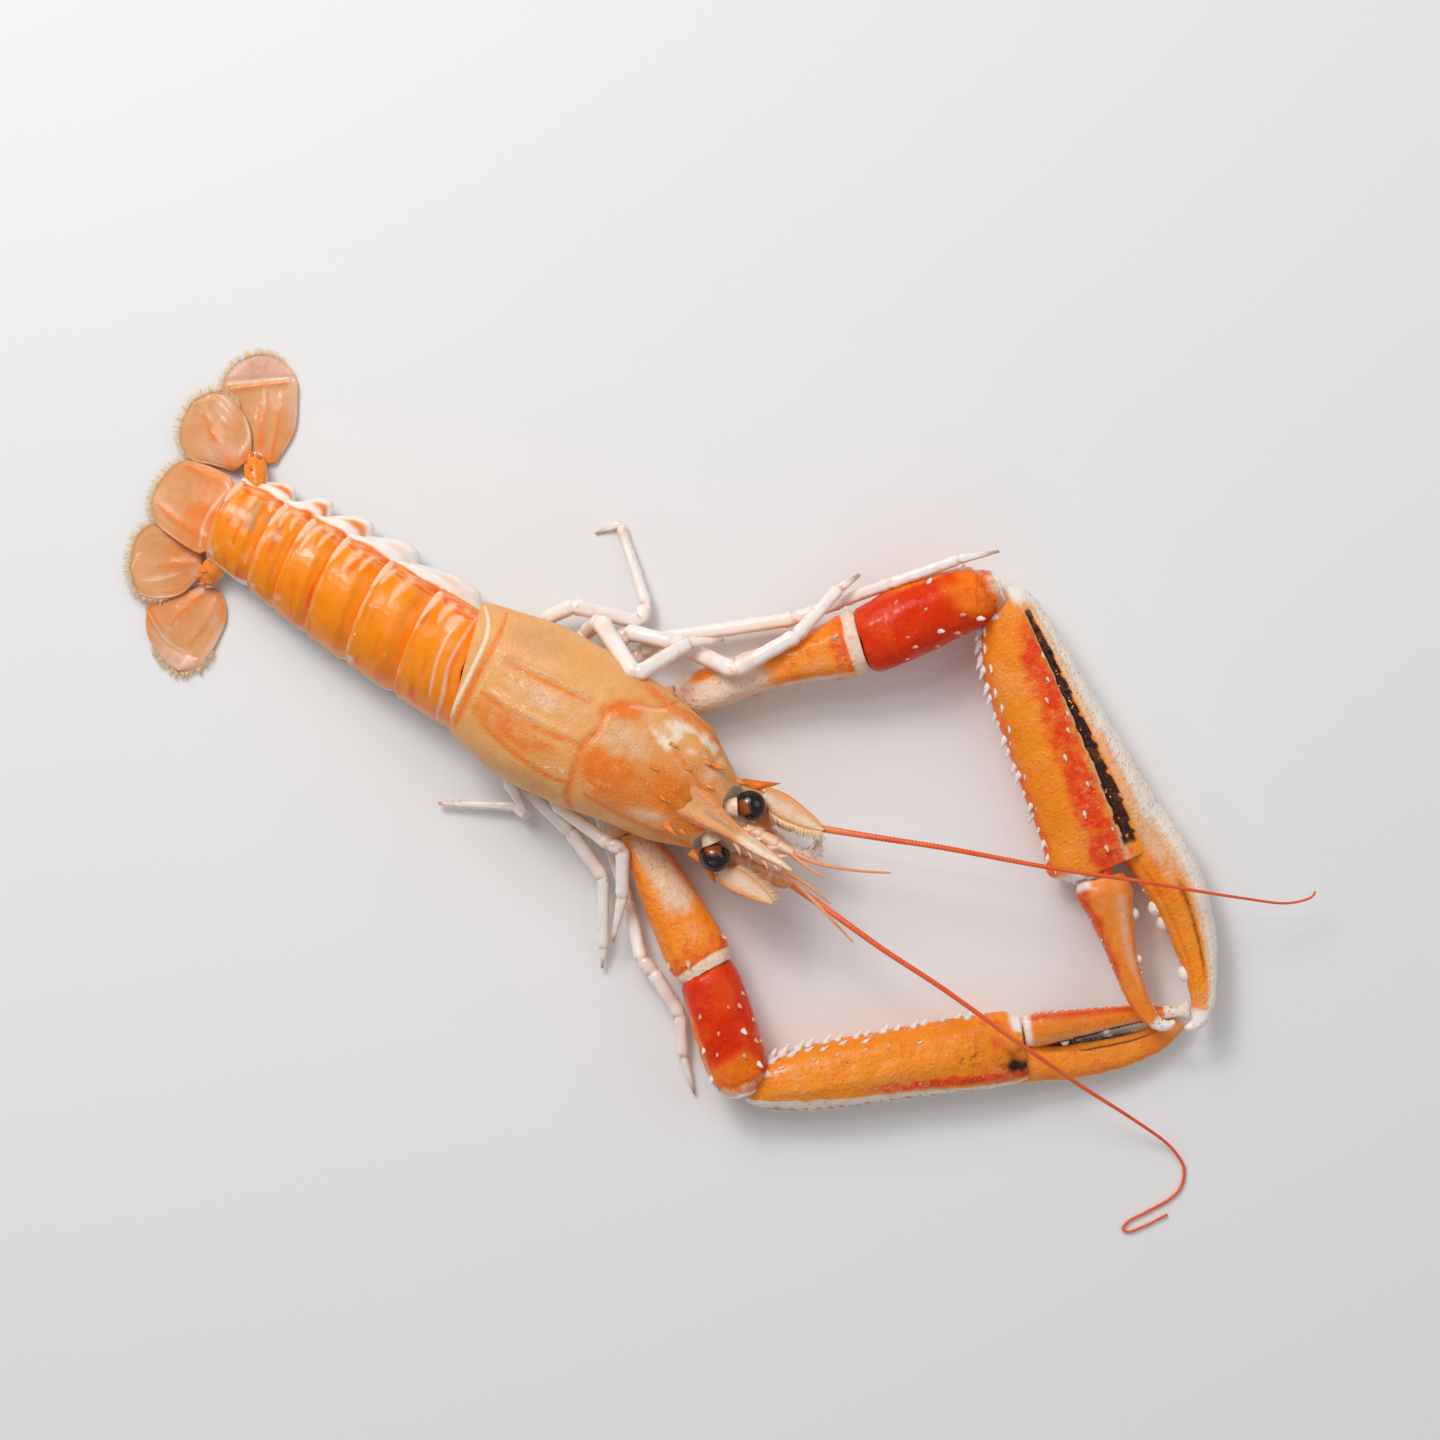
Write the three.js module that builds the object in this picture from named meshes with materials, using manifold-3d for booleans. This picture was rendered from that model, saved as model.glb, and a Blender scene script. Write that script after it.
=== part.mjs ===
// Norway lobster, also called langoustine or scampi, whole and lying belly down. Its tail is straight
// with the fan spread, and its two long claws close to a ring in front of the head.
// Millimetres: +X runs to the head, +Y to the animal's left, +Z up, and z = 0 is what it lies on.
import * as THREE from "three";
import { mergeVertices } from "three/addons/utils/BufferGeometryUtils.js";
import Module from "manifold-3d";

const wasm = await Module();
wasm.setup();

// Driving dimensions
const GAP = 0.3; // free space between neighbouring pieces
const CARAPACE_REAR = -37.5;
const CARAPACE_FRONT = 45.5;
const CARAPACE_HEM = 9.5; // height of the lower edge of the carapace
const CARAPACE_SKEW = 0.3; // how far the rear edge runs back for each millimetre to the left
const ROSTRUM_TIP = 67;
const EYE_RADIUS = 4.6;
const THORAX_HEIGHT = 9.2;
const ABDOMEN_JOINTS = [-38, -54.5, -70.4, -84, -95, -103.8, -118]; // along the back
const ABDOMEN_LAP = 3.5; // how far each ring reaches in under the one before it
const ABDOMEN_SKEW = 0.13; // how far the rings run back for each millimetre to the left
const RING_BOW = 2.4; // how far the middle of a ring's edge lies behind its sides
const FAN_THICKNESS = 1.3;

// How wide, high and low the carapace is, from its rear to its front
const carapaceLeft = along([-41, 17], [-33, 19.4], [-15, 24], [9, 24], [27, 21.6], [38, 18.4], [46, 15]);
const carapaceRight = along([-41, 16.4], [-31, 18.6], [-16, 20.4], [0, 19], [21, 15], [38, 12.4], [46, 10]);
const carapaceTop = along([-41, 29], [-30, 33.5], [-8, 37.2], [12, 38], [30, 35.8], [46, 32]);

// Small tools of measurement
const { degToRad, lerp, smoothstep } = THREE.MathUtils;

function vec(x, y, z) {
  return new THREE.Vector3(x, y, z);
}

// A smooth value along a part, through [place, value] knots.
function along(...knots) {
  const last = knots.length - 1;
  const slopes = knots.map((knot, i) => {
    const [before, after] = [knots[Math.max(i - 1, 0)], knots[Math.min(i + 1, last)]];
    return (after[1] - before[1]) / (after[0] - before[0]);
  });
  return (place) => {
    const s = Math.min(Math.max(place, knots[0][0]), knots[last][0]);
    let i = 0;
    while (i < last - 1 && s > knots[i + 1][0]) i += 1;
    const span = knots[i + 1][0] - knots[i][0];
    const u = (s - knots[i][0]) / span;
    const keep = (1 + 2 * u) * (1 - u) ** 2;
    const lean = u * (1 - u) ** 2 * slopes[i] - u * u * (1 - u) * slopes[i + 1];
    return knots[i][1] * keep + knots[i + 1][1] * (1 - keep) + span * lean;
  };
}

// A hump of height one round a place.
function hump(value, place, width) {
  return Math.exp(-(((value - place) / width) ** 2));
}

// The joints of a limb, from its first one and each segment's run, heading and rise.
function joints(first, segments) {
  const places = [vec(...first)];
  for (const { run, heading, rise } of segments) {
    const turn = degToRad(heading);
    places.push(places.at(-1).clone().add(vec(run * Math.cos(turn), run * Math.sin(turn), rise)));
  }
  return places;
}

// Solids

// A closed mesh as a solid, with its shared vertices merged.
function solid(geometry) {
  const bare = new THREE.BufferGeometry();
  bare.setAttribute("position", geometry.getAttribute("position"));
  bare.setIndex(geometry.getIndex());
  const merged = mergeVertices(bare, 1e-4);
  return new wasm.Manifold(
    new wasm.Mesh({
      numProp: 3,
      vertProperties: new Float32Array(merged.getAttribute("position").array),
      triVerts: new Uint32Array(merged.getIndex().array),
    }),
  );
}

// A unit cylinder carried to place(t, turn, reach): t runs from end to end, turn goes round from the
// top over the left side, and reach is 1 on the skin and 0 in the middle of an end. place also gets
// the number of the ring.
function form(sides, steps, place) {
  const geometry = new THREE.CylinderGeometry(1, 1, 1, sides, steps);
  const position = geometry.getAttribute("position");
  for (let i = 0; i < position.count; i += 1) {
    const [x, y, z] = [position.getX(i), position.getY(i), position.getZ(i)];
    const even = 0.5 - y;
    const t = even - 0.08 * Math.sin(2 * Math.PI * even);
    const point = place(t, Math.atan2(x, z), Math.hypot(x, z), Math.round(even * steps));
    position.setXYZ(i, point.x, point.y, point.z);
  }
  return solid(geometry);
}

// A corner made rounder or boxier: 1 gives an ellipse, less a rounded box.
function boxy(value, power) {
  return Math.sign(value) * Math.abs(value) ** power;
}

// A section carried along a path. left, right, top and bottom say how far it reaches from the path
// at each t; relief adds to all of them as a share, and bend moves the finished point.
function sweep({ path, sides = 10, steps = 6, square = 0.85, relief = () => 0, bend = (p) => p, ...size }) {
  const { left, right = left, top, bottom = top } = size;
  const at = (t, turn, reach = 1, grow = 0) => {
    const ahead = path.getTangentAt(t);
    const across = vec(-ahead.y, ahead.x, 0).normalize();
    const up = ahead.clone().cross(across);
    const [side, rise] = [Math.sin(turn), Math.cos(turn)];
    const out = 1 + relief(t, turn);
    const wide = ((side > 0 ? left : right)(t) * out + grow) * boxy(side, square) * reach;
    const high = ((rise > 0 ? top : bottom)(t) * out + grow) * boxy(rise, square) * reach;
    const middle = path.getPointAt(t).addScaledVector(ahead, grow * (2 * t - 1));
    return bend(middle.addScaledVector(across, wide).addScaledVector(up, high), t, turn);
  };
  return { at, make: (grow = 0) => form(sides, steps, (t, turn, reach) => at(t, turn, reach, grow)) };
}

function line(from, to) {
  return new THREE.LineCurve3(from, to);
}

function curve(...points) {
  return new THREE.CatmullRomCurve3(points.map((p) => vec(...p)));
}

// A spine with its foot sunk in the skin, pointing along aim.
function spine(foot, aim, length, radius, sides = 3) {
  const geometry = new THREE.ConeGeometry(radius, length, sides);
  geometry.translate(0, length * 0.3, 0);
  geometry.applyQuaternion(new THREE.Quaternion().setFromUnitVectors(vec(0, 1, 0), aim.clone().normalize()));
  geometry.translate(foot.x, foot.y, foot.z);
  return solid(geometry);
}

function ball(centre, x, y, z, sides = 8, rings = 6) {
  const geometry = new THREE.SphereGeometry(1, sides, rings);
  geometry.scale(x, y, z);
  geometry.translate(centre.x, centre.y, centre.z);
  return solid(geometry);
}

function joined(solids) {
  return solids.reduce((sum, one) => sum.add(one));
}

// The largest body of a solid, without scraps that a cut left loose.
function largest(whole) {
  return whole.decompose().reduce((best, one) => (one.volume() > best.volume() ? one : best));
}

// Pieces: each has a look, a maker that can also make it larger all over, and the pieces it clears.
const pieces = new Map();

function piece(name, look, make, clears = []) {
  pieces.set(name, { look, make, clears });
}

const LOOKS = {
  shell: { color: 0xd9a566, roughness: 0.42 },
  tail: { color: 0xee7f1f, roughness: 0.25 },
  fan: { color: 0xe8a672, roughness: 0.35 },
  claw: { color: 0xe8791d, roughness: 0.35 },
  wrist: { color: 0xc22a0c, roughness: 0.22 },
  finger: { color: 0xe98a2c, roughness: 0.35 },
  pale: { color: 0xe9cfae, roughness: 0.45 },
  leg: { color: 0xeed6c4, roughness: 0.35 },
  eye: { color: 0x0d0806, roughness: 0.05 },
  whip: { color: 0xe5683a, roughness: 0.5 },
};

// Walking legs, numbered from the front pair. Each starts at its hip on the thorax.
const LEG_PAIRS = [1, 2, 3, 4];
const LEGS = {
  leg_left_1: {
    hip: [0, 13.2, 4.6],
    segments: [
      { run: 15.6, heading: 88.5, rise: 1, width: 4.2 },
      { run: 6.9, heading: 63.3, rise: 1.2, width: 4 },
      { run: 37.1, heading: 40.3, rise: 0, width: 4.2 },
      { run: 14.3, heading: 51.7, rise: 3.4, width: 3.8 },
      { run: 13.2, heading: 51.4, rise: 9, width: 3.4 },
      { run: 19.8, heading: 50.8, rise: 4, width: 3.2 },
      { run: 11.1, heading: 43.3, rise: 0.5, width: 2.6 },
    ],
  },
  leg_left_2: {
    hip: [-7, 13, 4.8],
    segments: [
      { run: 18.6, heading: 85.6, rise: 4.6, width: 4.4 },
      { run: 13.4, heading: 18.6, rise: 3, width: 4.6 },
      { run: 18.4, heading: 6.7, rise: 10, width: 4.9 },
      { run: 19.3, heading: 61.3, rise: -0.6, width: 4.4 },
      { run: 17.8, heading: 79.6, rise: -5.4, width: 3.8 },
      { run: 6.6, heading: 65.3, rise: -0.5, width: 2.8 },
    ],
  },
  leg_left_3: {
    hip: [-14.5, 12.8, 4.8],
    segments: [
      { run: 12.9, heading: 93, rise: 3, width: 4.4 },
      { run: 4.9, heading: 66.8, rise: 7.8, width: 4.2 },
      { run: 18.1, heading: -25.3, rise: 15, width: 4.9 },
      { run: 17.2, heading: 63.6, rise: -9.5, width: 4.5 },
      { run: 9.5, heading: 37.1, rise: -2, width: 3.1 },
    ],
  },
  leg_left_4: {
    hip: [-22, 12.4, 4.8],
    segments: [
      { run: 11.3, heading: 115.7, rise: 2.8, width: 4.2 },
      { run: 8.7, heading: 55.7, rise: 2.4, width: 4.2 },
      { run: 19, heading: 18.5, rise: -4.6, width: 4.4 },
      { run: 5.3, heading: 103.5, rise: -0.6, width: 4 },
      { run: 23.5, heading: 139.8, rise: -3.6, width: 3.2 },
      { run: 7.3, heading: -127.3, rise: -0.8, width: 1.9 },
    ],
  },
  leg_right_1: {
    hip: [8, -10.4, 4.2],
    segments: [
      { run: 33.2, heading: -39.5, rise: -0.8, width: 3.4 },
      { run: 16.8, heading: -45.1, rise: 3.2, width: 3.8 },
      { run: 4.4, heading: -14.1, rise: 0, width: 4 },
      { run: 14.3, heading: -25.9, rise: -1.4, width: 4 },
      { run: 11.6, heading: -55.4, rise: -2.2, width: 3.4 },
      { run: 10.8, heading: -41.3, rise: -1.5, width: 2.4 },
    ],
  },
  leg_right_2: {
    hip: [0, -11, 5],
    segments: [
      { run: 8.4, heading: -74, rise: 5.2, width: 3.8 },
      { run: 19, heading: -4.2, rise: 6.4, width: 3.8 },
      { run: 3.6, heading: 12, rise: -0.4, width: 3.8 },
      { run: 13.4, heading: -58.8, rise: -4.4, width: 3.8 },
      { run: 12.6, heading: -70.9, rise: -4, width: 3.1 },
    ],
  },
  leg_right_3: {
    hip: [-8, -11.4, 4.2],
    segments: [
      { run: 9, heading: -77, rise: 0.4, width: 3.8 },
      { run: 16.5, heading: -11.5, rise: 3, width: 4 },
      { run: 15.5, heading: -22.6, rise: 0.6, width: 4.2 },
      { run: 19.5, heading: -58.7, rise: -4.4, width: 3.4 },
      { run: 5.8, heading: -62.4, rise: -1.6, width: 2 },
    ],
  },
  leg_right_4: {
    hip: [-17, -11.2, 4.8],
    segments: [
      { run: 10.6, heading: -61, rise: 2.2, width: 3.8 },
      { run: 10.8, heading: -31, rise: 0.4, width: 4 },
      { run: 3.8, heading: 169.9, rise: -3.4, width: 3.8 },
      { run: 21.7, heading: -150.1, rise: -1.6, width: 3 },
    ],
  },
};

const LEG_SIDES = 6;
const FOLD = 125; // a joint bent further than this many degrees parts the limb in two tubes

// A round tube through the joints, from the first to the last, with each bend eased round its knee.
function limbTube(places, widths, grow) {
  const stations = [];
  const add = (point, ahead, width) => stations.push({ point, ahead, girth: width / 2 + grow });
  const last = places.length - 1;
  const aims = places.slice(1).map((place, i) => place.clone().sub(places[i]).normalize());
  add(places[0].clone().addScaledVector(aims[0], -grow), aims[0], widths[0] * 0.8);
  for (let i = 1; i < last; i += 1) {
    const bend = aims[i - 1].angleTo(aims[i]);
    const ease = Math.max(widths[i] * 0.56 * Math.tan(bend / 2), widths[i] * 0.2);
    const arc = new THREE.QuadraticBezierCurve3(
      places[i].clone().addScaledVector(aims[i - 1], -ease),
      places[i],
      places[i].clone().addScaledVector(aims[i], ease),
    );
    const steps = bend > 0.6 ? [0, 0.5, 1] : [0, 1];
    for (const t of steps) {
      add(arc.getPoint(t), arc.getTangent(t), lerp(widths[i - 1], widths[i], 0.35 + 0.65 * t));
    }
  }
  add(places[last].clone().addScaledVector(aims[last - 1], grow), aims[last - 1], widths[last - 1] * 0.34);
  return form(LEG_SIDES, stations.length - 1, (t, turn, reach, step) => {
    const { point, ahead, girth } = stations[step];
    const across = vec(-ahead.y, ahead.x, 0).normalize();
    const up = ahead.clone().cross(across);
    const out = point.clone().addScaledVector(across, girth * reach * Math.sin(turn));
    return out.addScaledVector(up, girth * reach * Math.cos(turn));
  });
}

function leg({ hip, segments }, grow = 0) {
  const places = joints(hip, segments);
  const widths = segments.map((segment) => segment.width);
  const folds = segments.findIndex(({ heading }, i) => {
    if (i === 0) return false;
    const turned = Math.abs(heading - segments[i - 1].heading) % 360;
    return Math.min(turned, 360 - turned) > FOLD;
  });
  if (folds < 0) return limbTube(places, widths, grow);
  return joined([
    limbTube(places.slice(0, folds + 1), widths.slice(0, folds), grow),
    limbTube(places.slice(folds), widths.slice(folds), grow),
  ]);
}

function legs() {
  for (const [name, limb] of Object.entries(LEGS)) {
    piece(name, LOOKS.leg, (grow) => leg(limb, grow));
  }
}

// Claws: each runs from a hip through ischium, merus and carpus to the palm, which holds the fixed
// finger, and the moving finger. left and right are reaches seen looking down along the segment.
const CLAWS = {
  left: {
    hip: [10.5, 13, 6.2],
    segments: [
      { run: 12, heading: 58, rise: 1.8 },
      { run: 52.7, heading: 48.3, rise: 8 },
      { run: 40.6, heading: 54.6, rise: 0 },
    ],
    merus: {
      left: along([0, 4.4], [0.1, 6.4], [0.45, 7.8], [0.8, 8.6], [0.97, 10.6], [1, 9.6]),
      right: along([0, 4], [0.1, 5.4], [0.45, 4.4], [0.7, 5.4], [0.93, 7.6], [1, 6.4]),
      high: along([0, 4], [0.1, 6.2], [0.8, 7.6], [1, 7]),
    },
    carpus: {
      left: along([0, 5.6], [0.1, 10], [0.35, 11.6], [0.8, 9.6], [0.97, 5.6], [1, 4.6]),
      right: along([0, 5.4], [0.1, 8.6], [0.5, 8.2], [0.85, 7], [0.97, 4.4], [1, 3.6]),
      high: along([0, 6], [0.12, 9], [0.5, 9.8], [0.85, 8.4], [1, 5.4]),
    },
  },
  right: {
    hip: [17.5, -9.5, 6.2],
    segments: [
      { run: 9.4, heading: -44, rise: 1.8 },
      { run: 43.4, heading: -27.4, rise: 5 },
      { run: 35.2, heading: -42.6, rise: -1 },
    ],
    merus: {
      left: along([0, 4.4], [0.12, 6.8], [0.5, 8.2], [0.9, 8.4], [1, 7]),
      right: along([0, 2.4], [0.12, 3.4], [0.4, 6.1], [0.7, 8.2], [0.93, 9], [1, 7.6]),
      high: along([0, 4], [0.12, 6], [0.8, 7.4], [1, 6.6]),
    },
    carpus: {
      left: along([0, 5.4], [0.1, 7.6], [0.5, 8.8], [0.84, 8.2], [0.97, 4.4], [1, 3.6]),
      right: along([0, 5.6], [0.1, 8.2], [0.5, 8.6], [0.85, 7.4], [0.97, 5], [1, 4]),
      high: along([0, 5.6], [0.12, 8], [0.5, 8.6], [0.85, 7.4], [1, 5]),
    },
  },
};

// Palms. The sharp ridge, the groove beside it and the spiny inner edge run the whole length.
const PALMS = {
  left: {
    from: [74.6, 94.6, 10.6],
    to: [142, 47.5, 9.9],
    outer: 1, // the outer side is on the left of the segment
    reachOuter: along([0, 4.4], [0.04, 8], [0.2, 11], [0.45, 13.6], [0.75, 17], [0.97, 18.4], [1, 17.4]),
    reachInner: along([0, 4], [0.06, 7], [0.25, 11.6], [0.5, 13.4], [0.85, 15], [0.95, 16.6], [1, 12.8]),
    high: along([0, 5.6], [0.08, 8.4], [0.4, 10.2], [0.85, 9.4], [1, 7.6]),
    low: along([0, 5.6], [0.08, 8], [0.35, 9.9], [0.8, 9.4], [1, 8]),
    finger: [[132, 62.6, 9.4], [148.4, 57.4, 9.6], [160.4, 51, 9.8], [170.6, 42.8, 10.2],
      [177.8, 35.2, 10.8], [182.8, 28, 11.6], [184.2, 22.6, 12.3], [182.4, 19.2, 12.8]],
    fingerGirth: along([0, 9.2], [0.25, 8.8], [0.45, 7.8], [0.62, 6.2], [0.76, 4.4], [0.9, 2.9], [1, 0.7]),
    fingerHigh: along([0, 8], [0.3, 7.4], [0.6, 5.4], [0.9, 2.8], [1, 0.7]),
    spines: 13,
    spineLength: 2.4,
    teeth: [
      { t: 0.36, radius: 1.8 },
      { t: 0.47, radius: 2.5 },
      { t: 0.58, radius: 1.6 },
      { t: 0.75, radius: 2.3 },
    ],
  },
  right: {
    from: [88.2, -58.6, 8],
    to: [147.5, -8.3, 7.8],
    outer: -1,
    reachOuter: along([0, 3.6], [0.06, 6], [0.25, 8.4], [0.6, 9.2], [0.9, 10], [1, 9.4]),
    reachInner: along([0, 3.6], [0.06, 6.2], [0.25, 8.8], [0.6, 9.8], [0.95, 10], [1, 8.6]),
    high: along([0, 4.6], [0.08, 6.8], [0.4, 8], [0.85, 7.6], [1, 6.2]),
    low: along([0, 4.6], [0.08, 6.6], [0.35, 7.7], [0.8, 7.6], [1, 6.6]),
    finger: [[143.2, -17.2, 6.6], [152, -11, 6.2], [161.5, -4.6, 5.6], [170.6, 3.4, 5], [177.6, 11.8, 4.5],
      [180.4, 19, 4.1], [180.6, 26.4, 3.7]],
    fingerGirth: along([0, 5.8], [0.3, 5.2], [0.6, 4.3], [0.85, 3], [0.94, 2.2], [1, 0.7]),
    fingerHigh: along([0, 5.6], [0.3, 5], [0.6, 3.8], [0.9, 2.4], [1, 0.7]),
    spines: 13,
    spineLength: 2,
    teeth: [
      { t: 0.4, radius: 1.2 },
      { t: 0.55, radius: 1.4 },
      { t: 0.68, radius: 1 },
    ],
  },
};

const FINGERS = {
  left: {
    path: curve([141.2, 42.6, 11.2], [148.4, 35.9, 12], [155.4, 29, 12.8], [161.9, 23.4, 13.4],
      [167.7, 19.2, 14], [171.7, 17.2, 14.3], [175.4, 16.6, 14.4], [177.6, 17.8, 14.4], [178.6, 19.6, 14.2]),
    inner: along([0, 6.4], [0.1, 7.4], [0.2, 6.3], [0.41, 4.3], [0.6, 3.4], [0.78, 2.6], [0.92, 1.7], [1, 0.6]),
    outer: along([0, 7.2], [0.08, 8], [0.2, 6.4], [0.41, 4.3], [0.6, 3.4], [0.78, 2.6], [0.92, 1.7], [1, 0.6]),
    high: along([0, 5], [0.1, 6.4], [0.35, 5.2], [0.6, 3.4], [0.85, 2.2], [1, 0.6]),
    side: 1,
  },
  right: {
    path: curve([145.2, -4.6, 9.2], [155, 3.6, 9.2], [163.5, 11, 9], [172, 17.6, 8.7], [177.4, 21.4, 8.5],
      [180.6, 22.6, 8.2]),
    inner: along([0, 4.4], [0.12, 4.8], [0.4, 3.8], [0.7, 2.4], [0.9, 1.6], [1, 0.6]),
    outer: along([0, 4], [0.12, 4.6], [0.4, 3.6], [0.7, 2.4], [0.9, 1.6], [1, 0.6]),
    high: along([0, 4], [0.12, 5.4], [0.4, 3.8], [0.7, 2.6], [0.9, 1.6], [1, 0.6]),
    side: -1,
  },
};

// Where the features run on a claw's section, from its top, and the moving finger's teeth along it
const RIDGE_TURN = degToRad(20);
const GROOVE_TURN = degToRad(42);
const EDGE_TURN = degToRad(84);
const FINGER_TEETH = [0.36, 0.52];

// The palm's ridges and groove, as a share of its section. outer is 1 where the groove is on the left.
function palmRelief(outer) {
  return (t, turn) => {
    const fade = smoothstep(t, 0.02, 0.2) * (1 - smoothstep(t, 0.93, 1));
    const ridge = 0.09 * hump(turn * outer, RIDGE_TURN, 0.2);
    const groove = -0.1 * hump(turn * outer, GROOVE_TURN, 0.16);
    const edge = 0.06 * hump(turn * outer, -EDGE_TURN, 0.25);
    return fade * (ridge + groove + edge);
  };
}

function palm(spec, grow = 0) {
  const reaches = [spec.reachOuter, spec.reachInner];
  const [left, right] = spec.outer > 0 ? reaches : reaches.reverse();
  const body = sweep({
    path: line(vec(...spec.from), vec(...spec.to)),
    sides: 16,
    steps: 7,
    square: 0.8,
    left,
    right,
    top: spec.high,
    bottom: spec.low,
    relief: palmRelief(spec.outer),
  });
  const finger = sweep({
    path: curve(...spec.finger),
    sides: 8,
    steps: 9,
    left: spec.fingerGirth,
    top: spec.fingerHigh,
  });
  const parts = [body.make(grow), finger.make(grow)];
  if (grow > 0) return joined(parts);
  const rows = [
    { turn: -EDGE_TURN, size: 1, count: spec.spines },
    { turn: RIDGE_TURN, size: 0.7, count: spec.spines - 6 },
  ];
  for (const { turn, size, count } of rows) {
    for (let i = 0; i < count; i += 1) {
      const t = lerp(0.15, 0.93, i / (count - 1));
      const foot = body.at(t, turn * spec.outer, 0.95);
      const aim = foot.clone().sub(body.at(t - 0.03, turn * spec.outer, 0.2));
      parts.push(spine(foot, aim, spec.spineLength * size, 1.7 * size));
    }
  }
  for (const { t, radius } of spec.teeth) {
    parts.push(ball(finger.at(t, degToRad(-86) * spec.outer, 0.93), radius, radius, radius, 6, 4));
  }
  return joined(parts);
}

function finger({ path, inner, outer, high, side }, grow = 0) {
  const [left, right] = side > 0 ? [inner, outer] : [outer, inner];
  const body = sweep({ path, sides: 8, steps: 10, left, right, top: high });
  if (grow > 0) return body.make(grow);
  const teeth = FINGER_TEETH.map((t) => {
    const radius = inner(t) * 0.26;
    return ball(body.at(t, degToRad(86) * side, 0.92), radius, radius, radius, 5, 3);
  });
  return joined([body.make(), ...teeth]);
}

// A carpus has blunt tubercles over its upper side and two spines by the wrist.
function carpus(shape, grow = 0) {
  if (grow > 0) return shape.make(grow);
  const rows = [-48, 0, 48];
  const bumps = rows.flatMap((turn, row) =>
    [0.36, 0.62].map((t) => {
      const foot = shape.at(t + 0.1 * (row % 2), degToRad(turn), 0.95);
      const aim = foot.clone().sub(shape.at(t - 0.08, degToRad(turn), 0.2));
      return spine(foot, aim, 2.6, 1.3);
    }),
  );
  const wristSpines = [-70, 62].map((turn) => {
    const foot = shape.at(0.86, degToRad(turn), 0.92);
    return spine(foot, foot.clone().sub(shape.at(0.6, degToRad(turn), 0.3)), 5, 1.6);
  });
  return joined([shape.make(), ...bumps, ...wristSpines]);
}

function claws() {
  for (const [side, { hip, segments, merus, carpus: wrist }] of Object.entries(CLAWS)) {
    const [base, knee, elbow, end] = joints(hip, segments);
    const round = along([0, 3.6], [0.2, 5], [0.8, 5.4], [1, 4.6]);
    const ischium = sweep({ path: line(base, knee), sides: 8, steps: 2, left: round, top: round });
    const arm = sweep({
      path: line(knee, elbow),
      sides: 12,
      steps: 6,
      left: merus.left,
      right: merus.right,
      top: merus.high,
    });
    const hand = sweep({
      path: line(elbow, end),
      sides: 12,
      steps: 7,
      left: wrist.left,
      right: wrist.right,
      top: wrist.high,
    });
    const name = `claw_${side}`;
    piece(`${name}_ischium`, LOOKS.pale, ischium.make, [`${name}_merus`, "carapace"]);
    piece(`${name}_merus`, LOOKS.claw, arm.make, [`${name}_carpus`]);
    piece(`${name}_carpus`, LOOKS.wrist, (grow) => carpus(hand, grow), [`${name}_palm`]);
    piece(`${name}_palm`, LOOKS.claw, (grow) => palm(PALMS[side], grow), [`${name}_finger`]);
    piece(`${name}_finger`, LOOKS.finger, (grow) => finger(FINGERS[side], grow));
  }
}

// Body

// The cervical groove crosses the back and the two dorsal keels run back from it.
function carapaceRelief(x, turn) {
  const saddle = 12 - 16 * Math.abs(turn / Math.PI);
  const groove = -0.035 * hump(x, saddle, 3);
  const keels = 0.02 * hump(Math.abs(turn), 0.2, 0.1) * smoothstep(x, -36, -26) * (1 - smoothstep(x, 6, 14));
  return groove + keels;
}

const ORBITS = [[44.8, 7.6, 27.4], [44.4, -6.4, 27.2]]; // hollows that the eyes lie in

function carapaceShell(grow) {
  const middle = along([-41, 18], [12, 22], [46, 22]);
  return form(24, 16, (t, turn, reach) => {
    const x = lerp(CARAPACE_REAR - grow, CARAPACE_FRONT + grow, t);
    const close = Math.min(1, 0.72 + 1.4 * (1 - t));
    const out = (1 + carapaceRelief(x, turn)) * close;
    const [side, rise] = [Math.sin(turn), Math.cos(turn)];
    const wide = (side > 0 ? carapaceLeft(x) : carapaceRight(x)) * out + grow;
    const high = rise > 0 ? (carapaceTop(x) - middle(x)) * out + grow : middle(x) - CARAPACE_HEM + grow;
    const y = boxy(side, rise > 0 ? 0.86 : 0.5) * wide * reach;
    const z = middle(x) + boxy(rise, rise > 0 ? 0.86 : 0.45) * high * reach;
    const skew = CARAPACE_SKEW * (1 - smoothstep(x, CARAPACE_REAR, 0));
    return vec(x - skew * y, y + 1.6 * hump(x, 18, 26) * reach * Math.max(rise, 0), z);
  });
}

function rostrum(grow) {
  const path = curve([20, 1.6, 33.6], [38, 1.2, 31.8], [52, 0.5, 31.8], [ROSTRUM_TIP, 0, 34]);
  const wide = along([0, 7], [0.38, 4.6], [0.55, 2.7], [0.85, 1.6], [1, 0.4]);
  const high = along([0, 2.4], [0.5, 2.3], [0.85, 1.5], [1, 0.4]);
  return sweep({ path, sides: 8, steps: 8, left: wide, top: high }).make(grow);
}

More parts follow.
